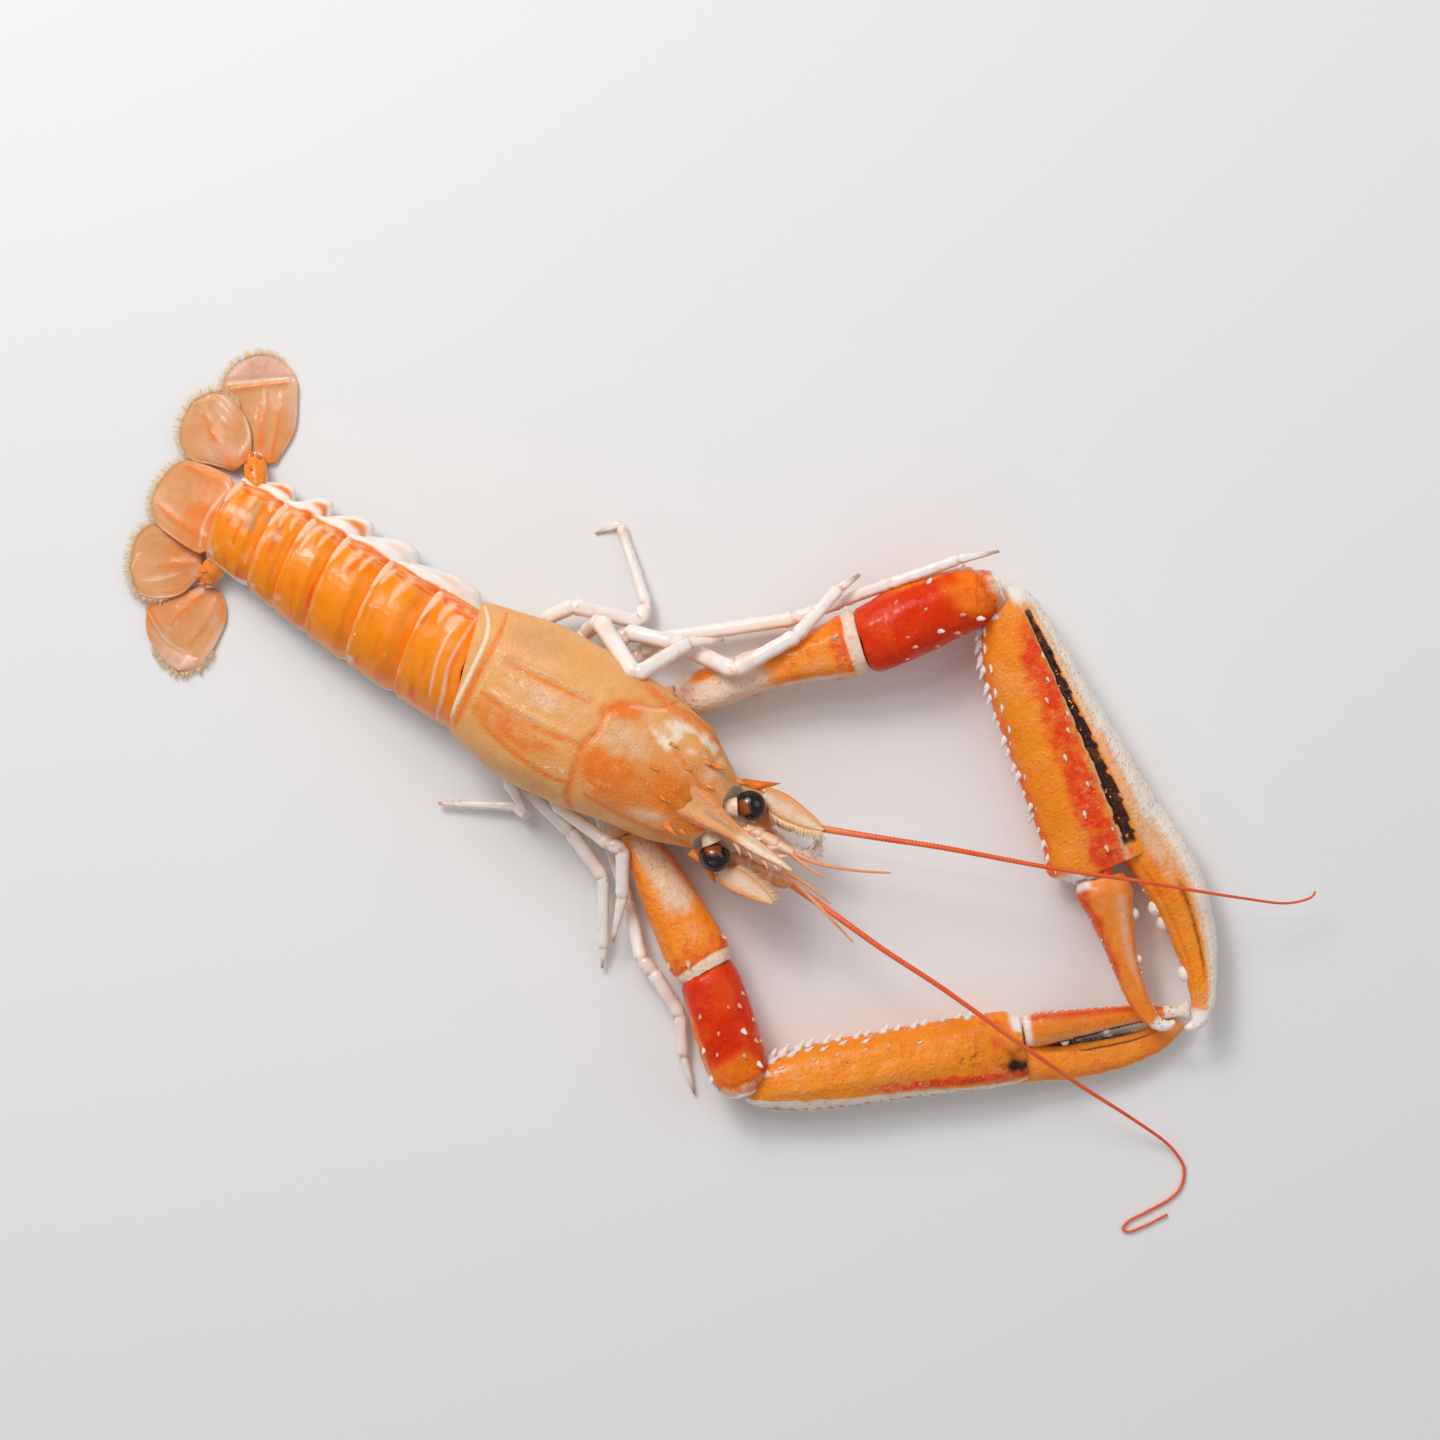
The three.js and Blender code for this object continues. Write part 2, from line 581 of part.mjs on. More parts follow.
function carapace(grow = 0) {
  const hollow = (centre) => ball(vec(...centre), 5.6 - grow, 5 - grow, 5.2 - grow, 10, 7);
  const orbits = joined(ORBITS.map(hollow));
  const parts = [carapaceShell(grow).subtract(orbits), rostrum(grow)];
  if (grow > 0) return joined(parts);
  const toothPlaces = [[50.5, 2.2, 31.9], [58.8, 1.6, 32.3]];
  for (const [x, y, z] of toothPlaces) {
    for (const side of [-1, 1]) {
      parts.push(spine(vec(x, y * side + 0.4, z), vec(1, side * 0.8, 0.2), 4, 1.1));
    }
  }
  const cheekSpines = [
    { foot: [41.4, 12.6, 25], aim: [1, 0.25, 0.1] },
    { foot: [42, -10.4, 25], aim: [1, -0.2, 0.1] },
    { foot: [34, 13, 31.4], aim: [1, 0.3, 0.5] },
    { foot: [32, -7.4, 33], aim: [1, -0.3, 0.5] },
  ];
  for (const { foot, aim } of cheekSpines) parts.push(spine(vec(...foot), vec(...aim), 5, 1.5));
  return joined(parts);
}

function thorax() {
  const wide = along([0, 8], [0.06, 11.4], [0.4, 12.2], [0.7, 11], [0.9, 9], [1, 6]);
  const high = along([0, 3], [0.06, 4.6], [0.9, 4.6], [1, 3.4]);
  const low = along([0, 4], [0.06, 5.6], [0.9, 5.6], [1, 4.4]);
  const middle = THORAX_HEIGHT - 4.6;
  const body = sweep({
    path: line(vec(-35, 0.4, middle), vec(40, 1.4, middle)),
    sides: 10,
    steps: 6,
    square: 0.6,
    left: wide,
    right: wide,
    top: high,
    bottom: low,
  }).make();
  const table = new THREE.BoxGeometry(200, 80, 20);
  table.translate(0, 0, -10);
  return body.subtract(solid(table));
}

function bodyPieces() {
  const limbs = LEG_PAIRS.flatMap((n) => [`leg_left_${n}`, `leg_right_${n}`]);
  const arms = ["claw_left_ischium", "claw_right_ischium"];
  const upper = ["claw_left_merus", "claw_right_merus", "abdomen_1", "face", "eye_left", "eye_right"];
  piece("thorax", LOOKS.pale, thorax, [...limbs, ...arms, "abdomen_1"]);
  piece("carapace", LOOKS.shell, carapace, [...limbs, ...upper]);
}

// Head: the face between the eyes, the eyes on their stalks, and two pairs of feelers.
const EYES = {
  left: { centre: [48.3, 8.9, 26], stalk: [[42.4, 4.6, 26.6], [45.4, 6.6, 26.4]] },
  right: { centre: [47.3, -7.9, 26], stalk: [[42, -3.2, 26.4], [44.8, -5.2, 26.2]] },
};

function face(grow = 0) {
  const wide = along([0, 8], [0.5, 8.4], [0.9, 7], [1, 5.4]);
  const high = along([0, 6.4], [0.5, 6.6], [1, 4]);
  const path = line(vec(38, 1.4, 18), vec(52, 1.6, 18.4));
  return sweep({ path, sides: 10, steps: 3, left: wide, top: high }).make(grow);
}

const ANTENNULES = {
  left: {
    path: [[50.5, 3.6, 23.4], [57, 3.7, 24.4], [65, 4.1, 24.6]],
    whips: [
      [[64, 4.1, 24.6], [72, 5.2, 25.4], [82, 9, 24], [90.6, 13.4, 20.5]],
      [[64, 3.6, 25], [70, 3, 26], [76, 2.8, 26.2]],
    ],
  },
  right: {
    path: [[50.5, -1.2, 23.4], [57, -1.6, 24.4], [64.6, -1.4, 24.8]],
    whips: [
      [[63.6, -1.4, 24.8], [72, -1.2, 26], [81, -2.3, 25]],
      [[63.6, -1.8, 24.6], [71, -2.8, 26.6], [82, -5.4, 27.4], [91.5, -8, 25.4]],
    ],
  },
};

function antennule({ path, whips }, grow = 0) {
  const girth = along([0, 1.5], [0.3, 2], [0.36, 1.6], [0.64, 1.7], [0.7, 1.35], [1, 1.1]);
  const thin = along([0, 0.7], [1, 0.32]);
  const stem = sweep({ path: curve(...path), sides: 6, steps: 6, left: girth, top: girth, square: 1 });
  const parts = [stem.make(grow)];
  for (const whip of whips) {
    const tube = sweep({ path: curve(...whip), sides: 4, steps: 6, left: thin, top: thin, square: 1 });
    parts.push(tube.make(grow));
  }
  return joined(parts);
}

const ANTENNAE = {
  left: {
    base: [[43, 10.4, 17], [50.5, 9.8, 17.2], [57, 10.8, 18.2], [62, 12, 19.6], [67.4, 13.5, 21.6]],
    tooth: { foot: [45.6, 13.4, 18.4], aim: [6.4, 4.8, 0.8] },
    whip: [[67.9, 13.7, 21.8], [83.2, 20.1, 26], [97.9, 26.4, 28], [126, 37.3, 29], [148.9, 47, 27],
      [175.6, 57.8, 18.5], [188.5, 63.8, 13], [193.2, 68.7, 11], [193.2, 70.4, 10.8]],
    steps: 28,
    scale: { from: [49.8, 14.2, 23], heading: -1, run: 19.4, rise: 1, left: 3, right: 4.6 },
  },
  right: {
    base: [[43, -8.2, 17], [51, -7, 17], [56, -6.2, 17.8], [61.6, -4.6, 19], [68.8, -3.6, 20.2]],
    tooth: { foot: [46, -10.4, 18.4], aim: [5.4, -3.8, 0.8] },
    whip: [[69.4, -3.6, 20.3], [82.3, -4.2, 24.6], [98.8, -5.3, 27.6], [117.8, -5.8, 28], [143.6, -7.6, 25],
      [165, -8.9, 17], [183.6, -9.4, 8.6], [195.1, -10.2, 3], [199.5, -11.3, 1.6], [203.4, -13.3, 0.9],
      [205.2, -15.9, 0.8], [206, -19.4, 0.8], [205, -23.3, 0.8], [203, -27, 0.8], [200.6, -31, 0.8],
      [198.6, -34.5, 0.8], [198.3, -37, 0.8], [200, -36.9, 0.8], [202.9, -33.4, 0.8], [206.8, -27.1, 0.8]],
    steps: 46,
    scale: { from: [50.4, -11.4, 23], heading: 3, run: 17, rise: 1, left: 4.4, right: 2.6 },
  },
};
const WHIP_RADIUS = 0.9;

function antennaWhip({ whip, steps }, grow = 0) {
  const girth = along([0, WHIP_RADIUS * 1.2], [0.1, WHIP_RADIUS], [0.6, WHIP_RADIUS * 0.62], [1, 0.34]);
  return sweep({ path: curve(...whip), sides: 4, steps, left: girth, top: girth, square: 1 }).make(grow);
}

function antennaBase({ base, tooth }, grow = 0) {
  const girth = along([0, 4], [0.4, 4.2], [0.54, 3], [0.72, 3.1], [0.8, 2.2], [0.95, 2], [1, 1.4]);
  const stem = sweep({ path: curve(...base), sides: 8, steps: 8, left: girth, top: girth, square: 1 });
  const aim = vec(...tooth.aim);
  const point = spine(vec(...tooth.foot), aim, aim.length() * 1.25 + grow, 2.4 + grow, 5);
  return stem.make(grow).add(point);
}

function antennaScale({ scale }, grow = 0) {
  const ends = joints(scale.from, [scale]);
  const shape = along([0, 0.6], [0.3, 1], [0.7, 0.8], [0.94, 0.3], [1, 0.08]);
  const thick = along([0, 1], [0.8, 0.7], [1, 0.3]);
  const path = line(ends[0], ends[1]);
  const left = (t) => shape(t) * scale.left;
  const right = (t) => shape(t) * scale.right;
  return sweep({ path, sides: 8, steps: 6, left, right, top: thick }).make(grow);
}

const MAXILLIPEDS = {
  left: [[27, 6.5, 5], [38, 8, 5.5], [50, 6.4, 8], [60, 4.6, 12], [67.5, 5, 14], [70.6, 7.6, 14.6],
    [69.4, 10.8, 14.8]],
  right: [[27, -4, 5], [38, -5.4, 5.5], [50, -4.6, 8], [60, -3.2, 11], [66, -2.6, 12]],
};

function maxilliped(points, grow = 0) {
  const girth = along([0, 2.2], [0.4, 2.6], [0.8, 1.9], [1, 0.8]);
  return sweep({ path: curve(...points), sides: 6, steps: 9, left: girth, top: girth }).make(grow);
}

function head() {
  piece("face", LOOKS.pale, face, ["thorax"]);
  for (const [side, { centre, stalk }] of Object.entries(EYES)) {
    const girth = along([0, 2], [1, 2.6]);
    const path = line(vec(...stalk[0]), vec(...stalk[1]));
    const stem = sweep({ path, sides: 8, steps: 3, left: girth, top: girth });
    const r = EYE_RADIUS;
    const eye = (grow = 0) => ball(vec(...centre), r + grow, r * 0.92 + grow, r * 0.86 + grow, 11, 7);
    piece(`eye_${side}`, LOOKS.eye, eye);
    piece(`eyestalk_${side}`, LOOKS.pale, stem.make, [`eye_${side}`, "carapace", "face"]);
    piece(`antennule_${side}`, LOOKS.whip, (grow) => antennule(ANTENNULES[side], grow), ["face", "carapace"]);
    piece(`antenna_base_${side}`, LOOKS.shell, (grow) => antennaBase(ANTENNAE[side], grow), [
      "face",
      "carapace",
      `antenna_${side}`,
      `antennule_${side}`,
    ]);
    piece(`antenna_scale_${side}`, LOOKS.shell, (grow) => antennaScale(ANTENNAE[side], grow), [
      "face",
      "carapace",
      `antenna_base_${side}`,
      `eye_${side}`,
    ]);
    piece(`antenna_${side}`, LOOKS.whip, (grow) => antennaWhip(ANTENNAE[side], grow));
    piece(`maxilliped_${side}`, LOOKS.leg, (grow) => maxilliped(MAXILLIPEDS[side], grow), ["face", "thorax"]);
  }
}

// Abdomen: six rings, each with a dome of shell, a side flap on either side and a hollow belly.
const ringLeft = along([-118, 12.2], [-103, 13.6], [-84, 15], [-60, 15.6], [-38, 15.4]);
const ringRight = along([-118, 12.6], [-103, 13.9], [-84, 16], [-60, 17.2], [-38, 17.4]);
const ringTop = along([-118, 15.6], [-103, 19.4], [-84, 23], [-60, 26.4], [-38, 28]);
const ringHem = along([-118, 3.2], [-84, 4.2], [-38, 5]);
const FLAPS = [0, 5.2, 6.1, 6.4, 6.6, 4.6]; // how far each ring's left flap stands out
const FLAP_LEADS = [0, 16.5, 10, 8.6, 5.4, 0.6]; // and how far its tip reaches ahead of the ring
const FLAP_RISE = 0.06; // the share of a ring behind the lap over which its flap comes out
const ARCH = 2 / 3; // the share of the turn that the dome takes

function ring(index, grow = 0) {
  const front = ABDOMEN_JOINTS[index] + (index > 0 ? ABDOMEN_LAP : 0);
  const rear = ABDOMEN_JOINTS[index + 1];
  const lapped = index > 0 ? ABDOMEN_LAP / (front - rear) : 0;
  const rows = 5;
  const tip = lapped + FLAP_RISE;
  return form(18, rows, (t, turn, reach, step) => {
    const row = rows - step;
    const fromFront = index === 0 ? 1 - t : row > 0 ? lerp(tip, 1, (row - 1) / (rows - 1)) : 0;
    const x = lerp(front + grow, rear - grow, fromFront);
    const swell = 0.88 + 0.12 * smoothstep(fromFront, lapped * 0.8, lapped + 0.28) - 0.02 * fromFront ** 4;
    const side = Math.sign(turn) || 1;
    const part = Math.abs(turn) / Math.PI;
    const reachSide = (side > 0 ? ringLeft(x) : ringRight(x)) * swell + grow;
    const height = (ringTop(x) - ringHem(x)) * swell;
    const flapOut = side > 0 ? FLAPS[index] * smoothstep(fromFront, lapped - 0.04, tip) : 0;
    const flap = flapOut * Math.min(1, 1.5 * (1 - fromFront));
    const lead = side > 0 ? FLAP_LEADS[index] * (1 - fromFront) ** 2 + 2 * grow : 0;
    const arch = Math.min(part / ARCH, 1) * Math.PI * 0.5;
    const inward = Math.max(part - ARCH, 0) / (1 - ARCH);
    const lower = smoothstep(part, ARCH * 0.72, ARCH) * (1 - inward);
    const y = side * boxy(Math.sin(arch), 0.9) * reachSide * (1 - inward) + flap * lower;
    const tuck = side > 0 ? 0 : 1.4 * lower;
    const hem = ringHem(x) - grow - tuck + 0.2 * flap * lower;
    const belly = 2.6 * Math.sin(inward * Math.PI * 0.5);
    const z = hem + boxy(Math.cos(arch), 0.8) * (height + 2 * grow) + belly;
    const centre = vec(x, 0, (ringTop(x) + ringHem(x)) / 2);
    const bow = RING_BOW * (1 - Math.cos(arch) * (1 - inward));
    const point = vec(x - ABDOMEN_SKEW * y + bow + lead * lower, y, z);
    return centre.lerp(point, reach);
  });
}

// Tail fan: each blade is a thin leaf, given by its base, its heading and its reach to either side.
const BLADES = {
  telson: {
    from: [-117.4, -0.6, 8.6], run: 20, heading: -170, rise: -6.2, thick: 1.9,
    left: along([0, 9], [0.1, 11], [0.6, 9.4], [0.85, 7.4], [0.96, 4.6], [1, 2.6]),
    right: along([0, 9], [0.1, 11.4], [0.76, 11.2], [0.92, 8], [1, 3]),
  },
  uropod_inner_left: {
    from: [-120.6, 15, 3], run: 22, heading: 158, rise: -0.4, thick: FAN_THICKNESS,
    left: along([0, 2.4], [0.25, 7], [0.47, 10.8], [0.78, 8.8], [0.93, 4.6], [1, 1]),
    right: along([0, 2.4], [0.25, 6.6], [0.5, 8.2], [0.84, 8], [0.96, 5], [1, 1]),
  },
  uropod_outer_left: {
    from: [-115.6, 18.6, 1.2], run: 30, heading: 125, rise: -0.1, thick: FAN_THICKNESS,
    left: along([0, 2], [0.17, 4.6], [0.5, 7.6], [0.76, 10.2], [0.92, 6.6], [0.98, 3], [1, 1]),
    right: along([0, 2.6], [0.28, 8.2], [0.55, 9.6], [0.78, 9.6], [0.93, 6.8], [0.98, 3.4], [1, 1]),
  },
  uropod_inner_right: {
    from: [-116, -13.8, 2.8], run: 19.8, heading: -145, rise: -0.4, thick: FAN_THICKNESS,
    left: along([0, 2.4], [0.3, 8], [0.65, 9.2], [0.9, 7.6], [0.97, 4.6], [1, 1]),
    right: along([0, 2.4], [0.27, 6.8], [0.51, 11.2], [0.76, 10.6], [0.93, 6.4], [1, 1]),
  },
  uropod_outer_right: {
    from: [-109.6, -18.6, 1.2], run: 24.6, heading: -83, rise: -0.1, thick: FAN_THICKNESS,
    left: along([0, 2.4], [0.14, 5.2], [0.31, 6.7], [0.8, 5.8], [0.95, 3], [1, 1]),
    right: along([0, 2.4], [0.2, 7.6], [0.42, 14], [0.7, 12.4], [0.87, 8.4], [0.97, 3.4], [1, 1]),
  },
};
const FAN_BASES = {
  left: [[-112.6, 10.6, 6.6], [-116.6, 15.6, 5.2], [-119, 19.4, 3.4]],
  right: [[-110.6, -9.6, 6.4], [-112.4, -14.6, 4.8], [-111.4, -18.4, 3.2]],
};

function blade(spec, grow = 0) {
  const [from, to] = joints(spec.from, [spec]);
  const thick = along([0, spec.thick * 0.6], [0.3, spec.thick * 0.5], [1, spec.thick * 0.28]);
  const wave = (point, t, turn) => point.setZ(point.z + 0.35 * Math.sin(7 * t + 3 * Math.sin(turn)) * t);
  const size = { left: spec.left, right: spec.right, top: thick };
  return sweep({ path: line(from, to), sides: 12, steps: 6, square: 0.75, bend: wave, ...size }).make(grow);
}

function fanBase(points, grow = 0) {
  const girth = along([0, 2.6], [0.4, 3.2], [0.8, 2.8], [1, 1.8]);
  const high = along([0, 2.2], [0.5, 2.4], [1, 1.4]);
  return sweep({ path: curve(...points), sides: 8, steps: 4, left: girth, top: high }).make(grow);
}

function tail() {
  for (let i = 0; i < 6; i += 1) {
    const clears = i < 5 ? [`abdomen_${i + 2}`] : ["telson", "uropod_base_left", "uropod_base_right"];
    piece(`abdomen_${i + 1}`, LOOKS.tail, (grow) => ring(i, grow), clears);
  }
  piece("telson", LOOKS.fan, (grow) => blade(BLADES.telson, grow));
  for (const side of ["left", "right"]) {
    const [inner, outer, base] = [`uropod_inner_${side}`, `uropod_outer_${side}`, `uropod_base_${side}`];
    piece(base, LOOKS.claw, (grow) => fanBase(FAN_BASES[side], grow), [inner, outer, "telson"]);
    piece(inner, LOOKS.fan, (grow) => blade(BLADES[inner], grow), ["telson"]);
    piece(outer, LOOKS.fan, (grow) => blade(BLADES[outer], grow), [inner, "telson"]);
  }
}

// Assembly
bodyPieces();
head();
tail();
claws();
legs();

const lobster = new THREE.Group();
for (const [name, { look, make, clears }] of pieces) {
  const cut = clears.reduce((whole, other) => whole.subtract(pieces.get(other).make(GAP)), make());
  const { vertProperties, triVerts } = largest(cut).getMesh();
  const geometry = new THREE.BufferGeometry();
  geometry.setAttribute("position", new THREE.BufferAttribute(new Float32Array(vertProperties), 3));
  geometry.setIndex(new THREE.BufferAttribute(new Uint32Array(triVerts), 1));
  geometry.computeVertexNormals();
  const mesh = new THREE.Mesh(geometry, new THREE.MeshStandardMaterial({ metalness: 0, ...look }));
  mesh.name = name;
  lobster.add(mesh);
}

export default lobster;
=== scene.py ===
"""Norway lobster: the looks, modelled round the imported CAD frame.

Shapes are worked out in millimetres, in the frame's own axes: +X runs to the head, +Y to the animal's
left, +Z up, and z = 0 is what it lies on. A finished piece is in metres, with its place in its mesh.
"""

import bisect
import random
from math import atan, copysign, cos, exp, pi, radians, sin, sqrt, tan

import bmesh
import bpy
from bpy.props import FloatProperty, FloatVectorProperty, PointerProperty
from mathutils import Color, Matrix, Vector, geometry, kdtree, noise
from mathutils.bvhtree import BVHTree


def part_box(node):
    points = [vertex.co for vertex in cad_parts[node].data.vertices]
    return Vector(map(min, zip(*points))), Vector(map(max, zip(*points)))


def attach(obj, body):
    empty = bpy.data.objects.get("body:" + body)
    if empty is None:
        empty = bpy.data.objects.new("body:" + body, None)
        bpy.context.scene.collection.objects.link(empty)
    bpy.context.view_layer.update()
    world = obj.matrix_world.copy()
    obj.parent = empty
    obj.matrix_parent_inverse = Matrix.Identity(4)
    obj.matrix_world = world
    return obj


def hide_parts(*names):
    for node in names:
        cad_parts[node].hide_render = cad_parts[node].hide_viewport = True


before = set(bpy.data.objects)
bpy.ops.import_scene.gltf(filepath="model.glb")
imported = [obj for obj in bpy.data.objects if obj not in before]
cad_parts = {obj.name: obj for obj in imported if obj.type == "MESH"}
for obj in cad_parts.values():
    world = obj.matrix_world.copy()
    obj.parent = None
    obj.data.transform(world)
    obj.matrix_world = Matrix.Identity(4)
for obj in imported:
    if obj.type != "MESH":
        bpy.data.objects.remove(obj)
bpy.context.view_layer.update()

bl_info = {
    "name": "Norway Lobster",
    "version": (1, 0, 0),
    "blender": (4, 5, 0),
    "location": "View3D > Sidebar > Lobster",
    "description": "Models a raw Norway lobster and its stage round the packed frame",
    "category": "Object",
}

MM = 0.001
OUTER = {"left": 1, "right": -1}  # which way is outward on either side


# Measures


def lerp(a, b, share):
    return a + (b - a) * share


def clamp(value, low=0.0, high=1.0):
    return min(max(value, low), high)


def smooth(value, low, high):
    """0 before low, 1 after high, and an even rise between them."""
    share = clamp((value - low) / (high - low))
    return share * share * (3 - 2 * share)


def hump(value, place, width):
    """A hump of height one round a place."""
    return exp(-(((value - place) / width) ** 2))


def boxy(value, power):
    """A corner made rounder or boxier: 1 gives an ellipse, less a rounded box."""
    return copysign(abs(value) ** power, value)


def along(*knots):
    """A smooth value along a part, through (place, value) knots."""
    places = [place for place, _ in knots]
    values = [value for _, value in knots]
    last = len(knots) - 1
    slopes = []
    for i in range(last + 1):
        before, after = max(i - 1, 0), min(i + 1, last)
        slopes.append((values[after] - values[before]) / (places[after] - places[before]))

    def value_at(place):
        s = clamp(place, places[0], places[last])
        i = clamp(bisect.bisect_left(places, s) - 1, 0, last - 1)
        span = places[i + 1] - places[i]
        u = (s - places[i]) / span
        keep = (1 + 2 * u) * (1 - u) ** 2
        lean = u * (1 - u) ** 2 * slopes[i] - u * u * (1 - u) * slopes[i + 1]
        return values[i] * keep + values[i + 1] * (1 - keep) + span * lean

    return value_at


def waves(run, pitch):
    """Waves from 0 to 1, that many millimetres apart."""
    return 0.5 + 0.5 * cos(2 * pi * run / pitch)


def uneven(point, size):
    """A smooth unevenness from about -1 to 1, with hills about that many millimetres apart."""
    return noise.noise(point / size)


def joints(first, segments):
    """The joints of a limb, from its first one and each segment's (run, heading, rise)."""
    places = [Vector(first)]
    for run, heading, rise, *_ in segments:
        turn = radians(heading)
        places.append(places[-1] + Vector((run * cos(turn), run * sin(turn), rise)))
    return places


class Course:
    """A smooth path through points (a centripetal Catmull-Rom curve), read by its share of the length."""

    FINE = 20

    def __init__(self, *points):
        knots = [Vector(p) for p in points]
        knots = [2 * knots[0] - knots[1], *knots, 2 * knots[-1] - knots[-2]]
        self.places = [knots[1]]
        for before, start, end, after in zip(knots, knots[1:], knots[2:], knots[3:]):
            g0, g1, g2 = ((b - a).length ** 0.5 for a, b in ((before, start), (start, end), (end, after)))
            lean_in = ((start - before) / g0 - (end - before) / (g0 + g1) + (end - start) / g1) * g1 / 3
            lean_out = ((end - start) / g1 - (after - start) / (g1 + g2) + (after - end) / g2) * g1 / 3
            curved = geometry.interpolate_bezier(start, start + lean_in, end - lean_out, end, self.FINE + 1)
            self.places += curved[1:]
        self.marks = [0.0]
        for a, b in zip(self.places, self.places[1:]):
            self.marks.append(self.marks[-1] + (b - a).length)
        self.length = self.marks[-1]
        last = len(self.places) - 1
        self.aims = []
        for i in range(last + 1):
            self.aims.append((self.places[min(i + 1, last)] - self.places[max(i - 1, 0)]).normalized())

    def at(self, share):
        """The place at that share of the length, and the direction ahead."""
        mark = clamp(share) * self.length
        i = clamp(bisect.bisect_right(self.marks, mark) - 1, 0, len(self.marks) - 2)
        part = (mark - self.marks[i]) / (self.marks[i + 1] - self.marks[i])
        place = self.places[i].lerp(self.places[i + 1], part)
        return place, self.aims[i].lerp(self.aims[i + 1], part).normalized()


def flat_course(points):
    """A path drawn on the plane."""
    return Course(*[(x, y, 0) for x, y in points])


class Sweep:
    """A section carried along a course. left, right, top and bottom give its reach at each share of the
    length, relief adds a share to all of them, and bend moves the finished point. turn is 0 on top and
    grows over the left side."""

    def __init__(self, course, left, top, right=None, bottom=None, square=0.85, relief=None, bend=None):
        self.course = course
        self.left, self.right = left, right or left
        self.top, self.bottom = top, bottom or top
        self.square, self.relief, self.bend = square, relief, bend
        self.sections = {}

    def section(self, t):
        if t not in self.sections:
            middle, ahead = self.course.at(t)
            across = Vector((-ahead.y, ahead.x, 0)).normalized()
            reaches = (self.left(t), self.right(t), self.top(t), self.bottom(t))
            self.sections[t] = middle, across, ahead.cross(across), reaches
        return self.sections[t]

    def place(self, t, turn, reach=1.0):
        middle, across, up, (left, right, top, bottom) = self.section(t)
        side, rise = sin(turn), cos(turn)
        out = reach * (1 + self.relief(t, turn)) if self.relief else reach
        wide = (left if side > 0 else right) * boxy(side, self.square) * out
        high = (top if rise > 0 else bottom) * boxy(rise, self.square) * out
        point = middle + across * wide + up * high
        return self.bend(point, t, turn) if self.bend else point


def limb(course, shape, **settings):
    """A sweep with the widths and heights that a shape gives from end to end."""
    left, high, right = (along(*shape[reach]) for reach in ("left", "high", "right"))
    return Sweep(course, left, high, right=right, **settings)


def round_limb(course, girth):
    return Sweep(course, girth, girth, square=1)


class Strokes:
    """Lines drawn on the skin, each (width, points) or (width, points, width at the end): how strongly a
    point lies on one."""

    STEP = 0.35

    def __init__(self, *lines):
        marks = []
        for width, points, *end in lines:
            course = flat_course(points)
            count = max(2, round(course.length / self.STEP))
            for i in range(count + 1):
                share = i / count
                taper = 0.55 + 0.45 * min(1.0, 6 * share * (1 - share))
                wide = lerp(width, end[0], share) if end else width
                marks.append((course.at(share)[0], wide * taper))
        self.widths = [width for _, width in marks]
        self.tree = kdtree.KDTree(len(marks))
        for i, (place, _) in enumerate(marks):
            self.tree.insert(place, i)
        self.tree.balance()

    def at(self, point):
        _, index, distance = self.tree.find((point.x, point.y, 0))
        return exp(-((distance / self.widths[index]) ** 2))


def patches(*spots):
    """Soft oval patches seen from above, each (x, y, half length, half width, heading)."""
    ovals = [(Vector((x, y)), a, b, radians(heading)) for x, y, a, b, heading in spots]

    def value_at(point):
        best = 0.0
        for centre, a, b, heading in ovals:
            dx, dy = point.x - centre.x, point.y - centre.y
            u = (dx * cos(heading) + dy * sin(heading)) / a
            v = (dy * cos(heading) - dx * sin(heading)) / b
            best = max(best, exp(-((u * u + v * v) ** 1.5)))
        return best

    return value_at


# Pieces in the making

MASKS = ("warm", "pink", "pale", "dark", "along", "around")
CAP_ROWS = 3
FLOOR_GAP = 0.03  # nothing lies lower than this


def steps(run):
    """How many steps of the skins' spacing a run in millimetres takes."""
    return round(run / millimetres("spacing"))


def set_along(aim, place):
    """The matrix that stands a cone or a grain at a place, along aim."""
    return Matrix.Translation(place) @ aim.to_track_quat("Z", "Y").to_matrix().to_4x4()


